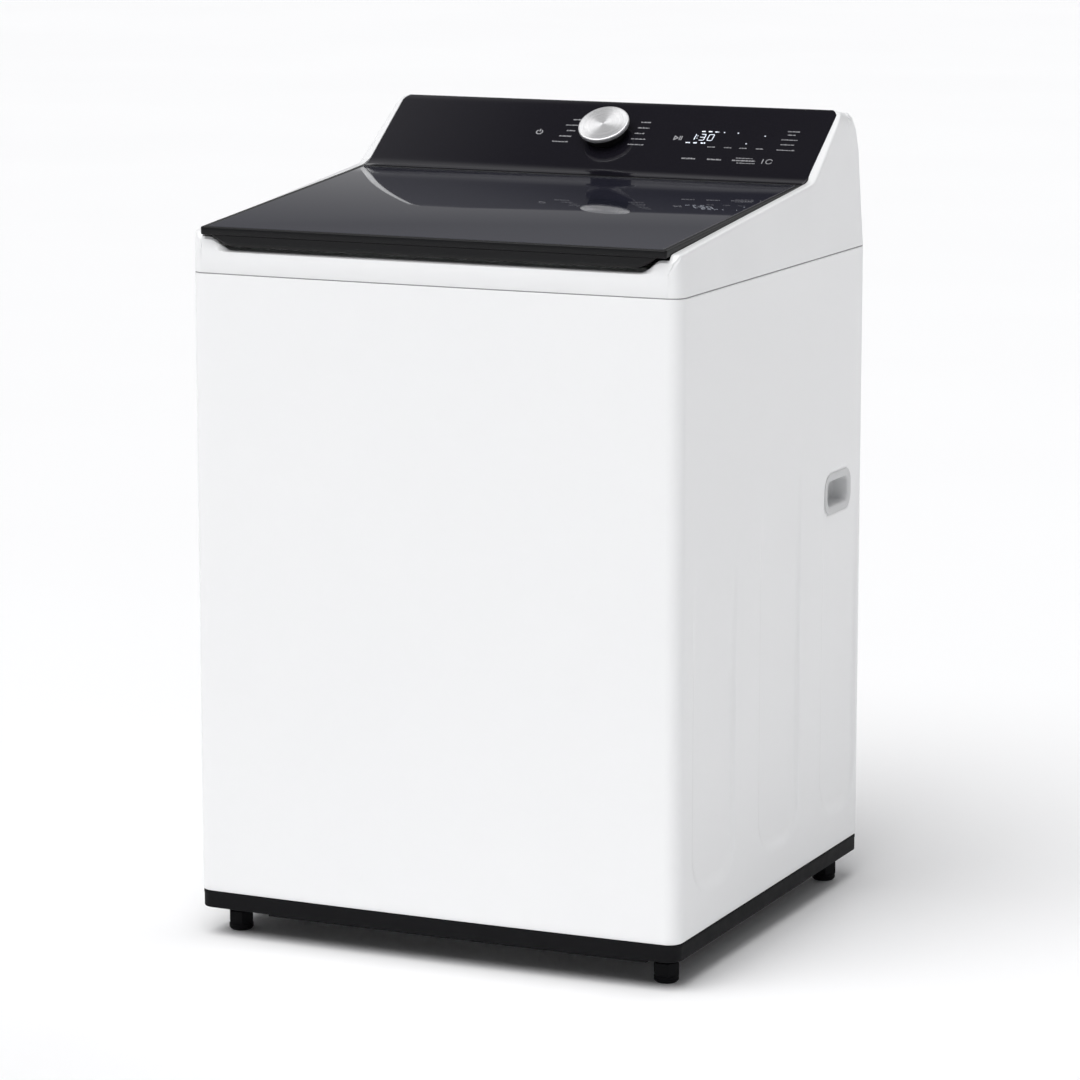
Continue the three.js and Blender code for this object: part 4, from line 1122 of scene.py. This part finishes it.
def lid_handle():
    """The black lip under the lid's front edge, tapering away at its ends."""
    top = lid_z(LID_FRONT) - LID_THICK - 0.2
    low_y, high_y = LID_FRONT + 0.6, LID_FRONT + 20
    half, taper, tall = 310, 30, top - 918.6
    rings = []
    for x in spaced(-half, half, 3):
        run = min(1, (half - abs(x)) / taper)
        drop = max(tall * math.sin(run * math.pi / 2), 0.4)
        nose = min(4, 0.4 * drop)
        back = min(2.5, 0.4 * drop)
        bottom = top - drop
        face = low_y + 2 * (1 - run)
        outline = [(face, top), (face, top - 0.6 * drop), (face + 0.5 * nose, bottom + 0.2 * nose)]
        outline += [(face + 1.6 * nose, bottom), (high_y - back, bottom)]
        outline += [(high_y, bottom + back), (high_y, top)]
        rings.append([Vector((x, y, z)) for y, z in filleted(outline, 2, 3)])
    Shape().loft(rings).piece("lid_lip", "lid", "black_plastic", ["lid_handle"], 50, LIP_BLACK)


def lid_trim():
    outer = rounded(-268, 268, -282, 80, 34)
    inner = rounded(-248, 248, -266, 64, 26)
    shape = Shape().rim(outer, inner, on_lid_up, -16.3, -10.3, 1.8, 4)
    shape.piece("lid_window_trim", "lid", "black_plastic", ["lid_inner_trim"])


# ---- washing unit ----
def lathe_piece(name, profile, body, slot, node, steps=144, closed=True):
    Shape().turned(profile, steps, closed=closed).piece(name, body, slot, [node], 30)


def tub_ring():
    profile = [(228, 838.6), (289.6, 838.4), (290.4, 837.8), (290.4, 825), (293.2, 825), (293.2, 840.6)]
    profile += [(292, 841.8), (270, 842), (268, 840.8), (250, 840.8), (248, 842), (233, 842), (229.6, 841.4)]
    lathe_piece("tub_rim", profile + [(228, 840)], "tub", "white_plastic", "tub_ring")


def balance_ring():
    profile = [(228, 795), (229, 792), (233, 790.2), (262.6, 790.2), (263.8, 791.4), (263.8, 829)]
    profile += [(262.6, 831.8), (258, 833.8), (252, 833.8), (250.5, 832.6), (246, 832.6), (244.5, 833.8)]
    profile += [(236, 833.8), (230.4, 830.6), (228, 826), (228, 816), (229.4, 814.8), (229.4, 811.2)]
    profile += [(228, 810)]
    lathe_piece("balance_ring_moulding", profile, "basket", "grey_plastic", "balance_ring")


def basket_wall():
    """The basket's sheet, with rows of drain holes and pressed bands."""
    r_out, z0, z1 = BASKET_HIGH.x, BASKET_LOW.z, BASKET_HIGH.z
    columns, bands, sides = 60, 15, 8
    cell_z = (z1 - z0 - 40) / bands
    shape = Shape()

    def at(turn, z, r=0.0):
        swell = 1.2 * math.sin((z - z0) / (z1 - z0) * math.pi * 6) ** 2
        a = 2 * math.pi * turn / columns
        radius = r_out - 1.0 + min(swell, 0.9) + r
        return Vector((radius * math.cos(a), radius * math.sin(a), z))

    hole = 3.2 / (2 * math.pi * r_out / columns)
    for band in range(bands):
        low = z0 + 20 + band * cell_z
        for column in range(columns):
            cu, cz = column + 0.5, low + cell_z / 2
            square, middle, rim = [], [], []
            for k in range(sides):
                a = 2 * math.pi * k / sides
                u, v = math.cos(a), math.sin(a)
                big = max(abs(u), abs(v))
                square.append(at(cu + 0.5 * u / big, cz + 0.5 * cell_z * v / big))
                middle.append(at(cu + 1.35 * hole * u, cz + 4.3 * v))
                rim.append(at(cu + hole * u, cz + 3.2 * v, -0.6))
            shape.grid([square, middle, rim], around=True)
    for low, high in ((z0, z0 + 20), (z1 - 20, z1)):
        ring_rows = [[at(turn / 2, z) for turn in range(2 * columns)] for z in spaced(low, high, 5)]
        shape.grid(ring_rows, around=True)
    wall = shape.piece("basket_wall", "basket", "stainless", ["basket_shell"], 40)
    sheet = wall.modifiers.new("sheet", "SOLIDIFY")
    sheet.thickness = 0.7 * MM


def basket_floor():
    profile = [(9.2, 113), (16.2, 113), (16.2, 214), (70, 222), (200, 228), (259, 238), (260, 240)]
    profile += [(260, 262), (259, 263), (255, 263), (253, 261), (250, 245), (246, 243), (198, 235)]
    profile += [(70, 232), (24, 236), (9.2, 236)]
    lathe_piece("basket_floor", profile, "basket", "cast_aluminium", "basket_base")


def lint_filter():
    """A caged filter on the basket's wall: a frame with slats."""
    low, high = box("lint_filter")
    z0, z1, half = low.z, high.z, high.y
    shape = Shape()

    def place(u, v, w):
        a = u / (BASKET_HIGH.x - 4)
        r = BASKET_HIGH.x - 4 - w
        return Vector((r * math.cos(a), r * math.sin(a), v))

    def bent_bar(u0, u1, v0, v1, w0, w1):
        outline = rounded(u0, u1, v0, v1, 1.2, 3)
        shape.plate(outline, place, w0, w1, 0.8, 2)

    thick = 22
    for u in (-half, half - 8):
        bent_bar(u, u + 8, z0, z1, 0, thick)
    inner = half - 7
    for v in (z0, z1 - 12):
        bent_bar(-inner, inner, v, v + 12, 0, thick)
    for k in range(22):
        v = z0 + 18 + k * (z1 - z0 - 34) / 22
        bent_bar(-inner, inner, v, v + 4, thick - 6, thick - 1)
    for u in (-18, 14):
        bent_bar(u, u + 4, z0 + 10, z1 - 10, thick - 7, thick - 2)
    shape.piece("lint_filter_cage", "basket", "grey_plastic", ["lint_filter"])


def pulsator():
    """The wavy disc at the basket's floor, with six blades."""
    rows = []
    steps, radius = 144, 169
    for r in spaced(43, radius, 3):
        edge = smooth_step((radius - r) / 40)
        base = 258 + 18 * smooth_step((radius - r) / 130)
        blade = 24 * edge * smooth_step((r - 20) / 60)
        row = []
        for k in range(steps):
            a = 2 * math.pi * k / steps
            crest = (0.5 + 0.5 * math.cos(6 * a)) ** 3
            ripple = 1.2 * math.cos(36 * a) * smooth_step((r - 60) / 50) * edge
            high = base + blade * crest + ripple * (1 - crest)
            row.append(Vector((r * math.cos(a), r * math.sin(a), high)))
        rows.append(row)
    for r, z in ((170, 256), (radius, 253), (160, 250.5), (120, 246), (43, 246)):
        rows.append([Vector((r * u, r * v, z)) for u, v in circle(0, 0, 1, steps)])
    shape = Shape().grid(rows, around=True, loop=True)
    shape.piece("pulsator_disc", "drive", "grey_plastic", ["pulsator"], 50)
    cap = [(0, 276), (43, 276.3), (43.6, 278), (43.2, 290), (41, 296), (36, 302), (28, 306.4), (16, 309.2)]
    lathe_piece("pulsator_crown", cap + [(0, 310)], "drive", "stainless", "pulsator_cap", 96, False)


def spring(corner):
    node = f"suspension_spring_{corner}"
    low, high = box(node)
    x, y = centre(node)
    tall = high.z - low.z
    wire, turns, per_turn = 1.9, 9, 24
    radius = (high.x - low.x) / 2 - wire
    path = []
    for k in range(turns * per_turn + 1):
        t = k / (turns * per_turn)
        a = 2 * math.pi * turns * t
        climb = low.z + wire + (tall - 2 * wire) * t
        path.append(Vector((x + radius * math.cos(a), y + radius * math.sin(a), climb)))
    coil = Shape().tube(path, wire, 8).piece(f"coil_{node}", "cabinet", "spring_steel", [node], 60)
    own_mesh(coil)


# ---- back ----
def screw(shape, x, z):
    """A round-headed screw on the rear panel."""
    r, y = 4, REAR + 1.1
    ring = [(r, 0), (r, 1.2), (0.9 * r, 1.8), (0.45 * r, 2.2), (0.4 * r, 1.2), (0, 1.2)]
    rings = [[on_back(x + a * k, z + b * k, y + h) for a, b in circle(0, 0, 1, 20)] for k, h in ring]
    shape.grid(rings, around=True)


def rear_details():
    """Screws round the rear panel and pressed stiffening beads."""
    screws, beads = Shape(), Shape()
    for x in (-326, 326):
        for z in spaced(85, 862, 155):
            screw(screws, x, z)
    for x in spaced(-240, 240, 160):
        screw(screws, x, 874)
        screw(screws, x, 71)
    screws.piece("rear_screws", "cabinet", "spring_steel")
    outlines = []
    for side in (-1, 1):
        for x in (170, 214, 258, 300):
            low = 210 if side > 0 and x < 300 else 110
            outlines.append(rounded(side * x - 6, side * x + 6, low, 830, 5.9, 6))
    outlines += [rounded(-130, 130, z, z + 12, 5.9, 6) for z in (520, 600, 680, 760)]
    for outline in outlines:
        beads.plate(outline, on_back, REAR + 0.5, REAR + 2.8, 1.6, 4)
    beads.piece("rear_beads", "cabinet", "galvanised")


def back_vents():
    """Hooded slots in the console's rear wall."""
    shape = Shape()
    for bank in (-140, -20):
        for k in range(7):
            z = 935 + k * 9
            y = COVER_REAR - (z - SEAM) * BACK_LEAN - 0.3
            outline = rounded(bank, bank + 92, z, z + 3.2, 1.5, 4)
            shape.plate(outline, on_back, y, y + 1.3, 0.9, 3)
    shape.piece("back_vent_hoods", "cabinet", "white_plastic")


# ---- CAD nodes that keep their own shape ----
def dress_nodes():
    slots = {part["node"]: part["material_slot"] for part in frame["record"]["subparts"]}
    softened = [
        "console_back_cover", "rear_service_cover", "lid_lock", "lid_strike", "inlet_valve_hot",
        "inlet_valve_cold", "drain_outlet", "cord_gland", "dispenser_drawer", "drawer_front",
        "dispenser_housing", "inverter_box",
    ]
    for name, obj in frame["nodes"].items():
        obj.data.materials.clear()
        obj.data.materials.append(FINISHES[slots[name]])
        if name in softened:
            soft = obj.modifiers.new("edges", "BEVEL")
            soft.width = 0.7 * MM
            soft.segments = 2
            soft.limit_method = "ANGLE"
            soft.angle_limit = math.radians(40)
            soft.harden_normals = True


# ---- studio ----
def sky():
    """A plain studio surround: white low down, grey bands above for the gloss to mirror."""
    world = bpy.data.worlds.new("studio")
    bpy.context.scene.world = world
    world.use_nodes = True
    nodes, links = world.node_tree.nodes, world.node_tree.links
    place = nodes.new("ShaderNodeTexCoord")
    axes = nodes.new("ShaderNodeSeparateXYZ")
    ramp = nodes.new("ShaderNodeValToRGB")
    links.new(place.outputs["Generated"], axes.inputs["Vector"])
    links.new(axes.outputs["Z"], ramp.inputs["Fac"])
    stops = [(0.06, 1.0), (0.11, 0.3), (0.33, 0.2), (0.55, 0.36), (0.72, 0.36), (0.86, 0.08), (1.0, 0.08)]
    shades = ramp.color_ramp.elements
    shades[0].position, shades[1].position = stops[0][0], stops[-1][0]
    for position, _ in stops[1:-1]:
        shades.new(position)
    for shade, (_, grey) in zip(shades, stops):
        shade.color = (grey, grey, grey * 1.02, 1)
    links.new(ramp.outputs["Color"], nodes["Background"].inputs["Color"])


def sun(name, azimuth, elevation, spread, power):
    """A broad, even light: azimuth 0 is straight in front, positive to the right."""
    light = bpy.data.lights.new(name, "SUN")
    light.energy = power
    light.angle = math.radians(spread)
    obj = bpy.data.objects.new(name, light)
    bpy.context.scene.collection.objects.link(obj)
    a, e = math.radians(azimuth), math.radians(elevation)
    towards = Vector((math.sin(a) * math.cos(e), -math.cos(a) * math.cos(e), math.sin(e)))
    obj.rotation_euler = towards.to_track_quat("Z", "Y").to_euler()


def studio():
    bpy.ops.mesh.primitive_plane_add(size=120, location=(0, 0, 0))
    floor = bpy.context.object
    floor.name = "floor"
    paper = Finish("studio_floor", (0.93, 0.93, 0.935), 0.85)
    paper.colours(paper.noise(0.6, 2), (0.925, 0.925, 0.93), (0.935, 0.935, 0.94))
    floor.data.materials.append(paper.material)
    sky()
    sun("key", -16, 65, 55, 2.7)
    sun("fill", 165, 40, 40, 0.35)
    bpy.context.scene.view_settings.view_transform = "Standard"


def camera():
    lens = bpy.data.cameras.new("camera")
    lens.lens = 147.5
    lens.sensor_width = 36
    eye = bpy.data.objects.new("camera", lens)
    bpy.context.scene.collection.objects.link(eye)
    eye.location = (2.4164, -5.3033, 1.571)
    target = Vector((0.0051, 0.0023, 0.5037))
    eye.rotation_euler = (target - eye.location).to_track_quat("-Z", "Y").to_euler()
    lens.clip_end = 200
    bpy.context.scene.camera = eye


def machine():
    dress_nodes()
    cabinet_shell()
    seam_shadow_strip()
    gussets()
    for name, sign in (("left", -1), ("right", 1)):
        side_grip(name, sign)
    base_skirt()
    for corner in CORNERS:
        levelling_foot(corner)
        spring(corner)
    top_cover()
    console_panel()
    panel_print()
    display()
    knob()
    lid_frame()
    lid_glass()
    lid_handle()
    lid_trim()
    tub_ring()
    balance_ring()
    basket_wall()
    basket_floor()
    lint_filter()
    pulsator()
    rear_details()
    back_vents()


camera()
studio()
machine()
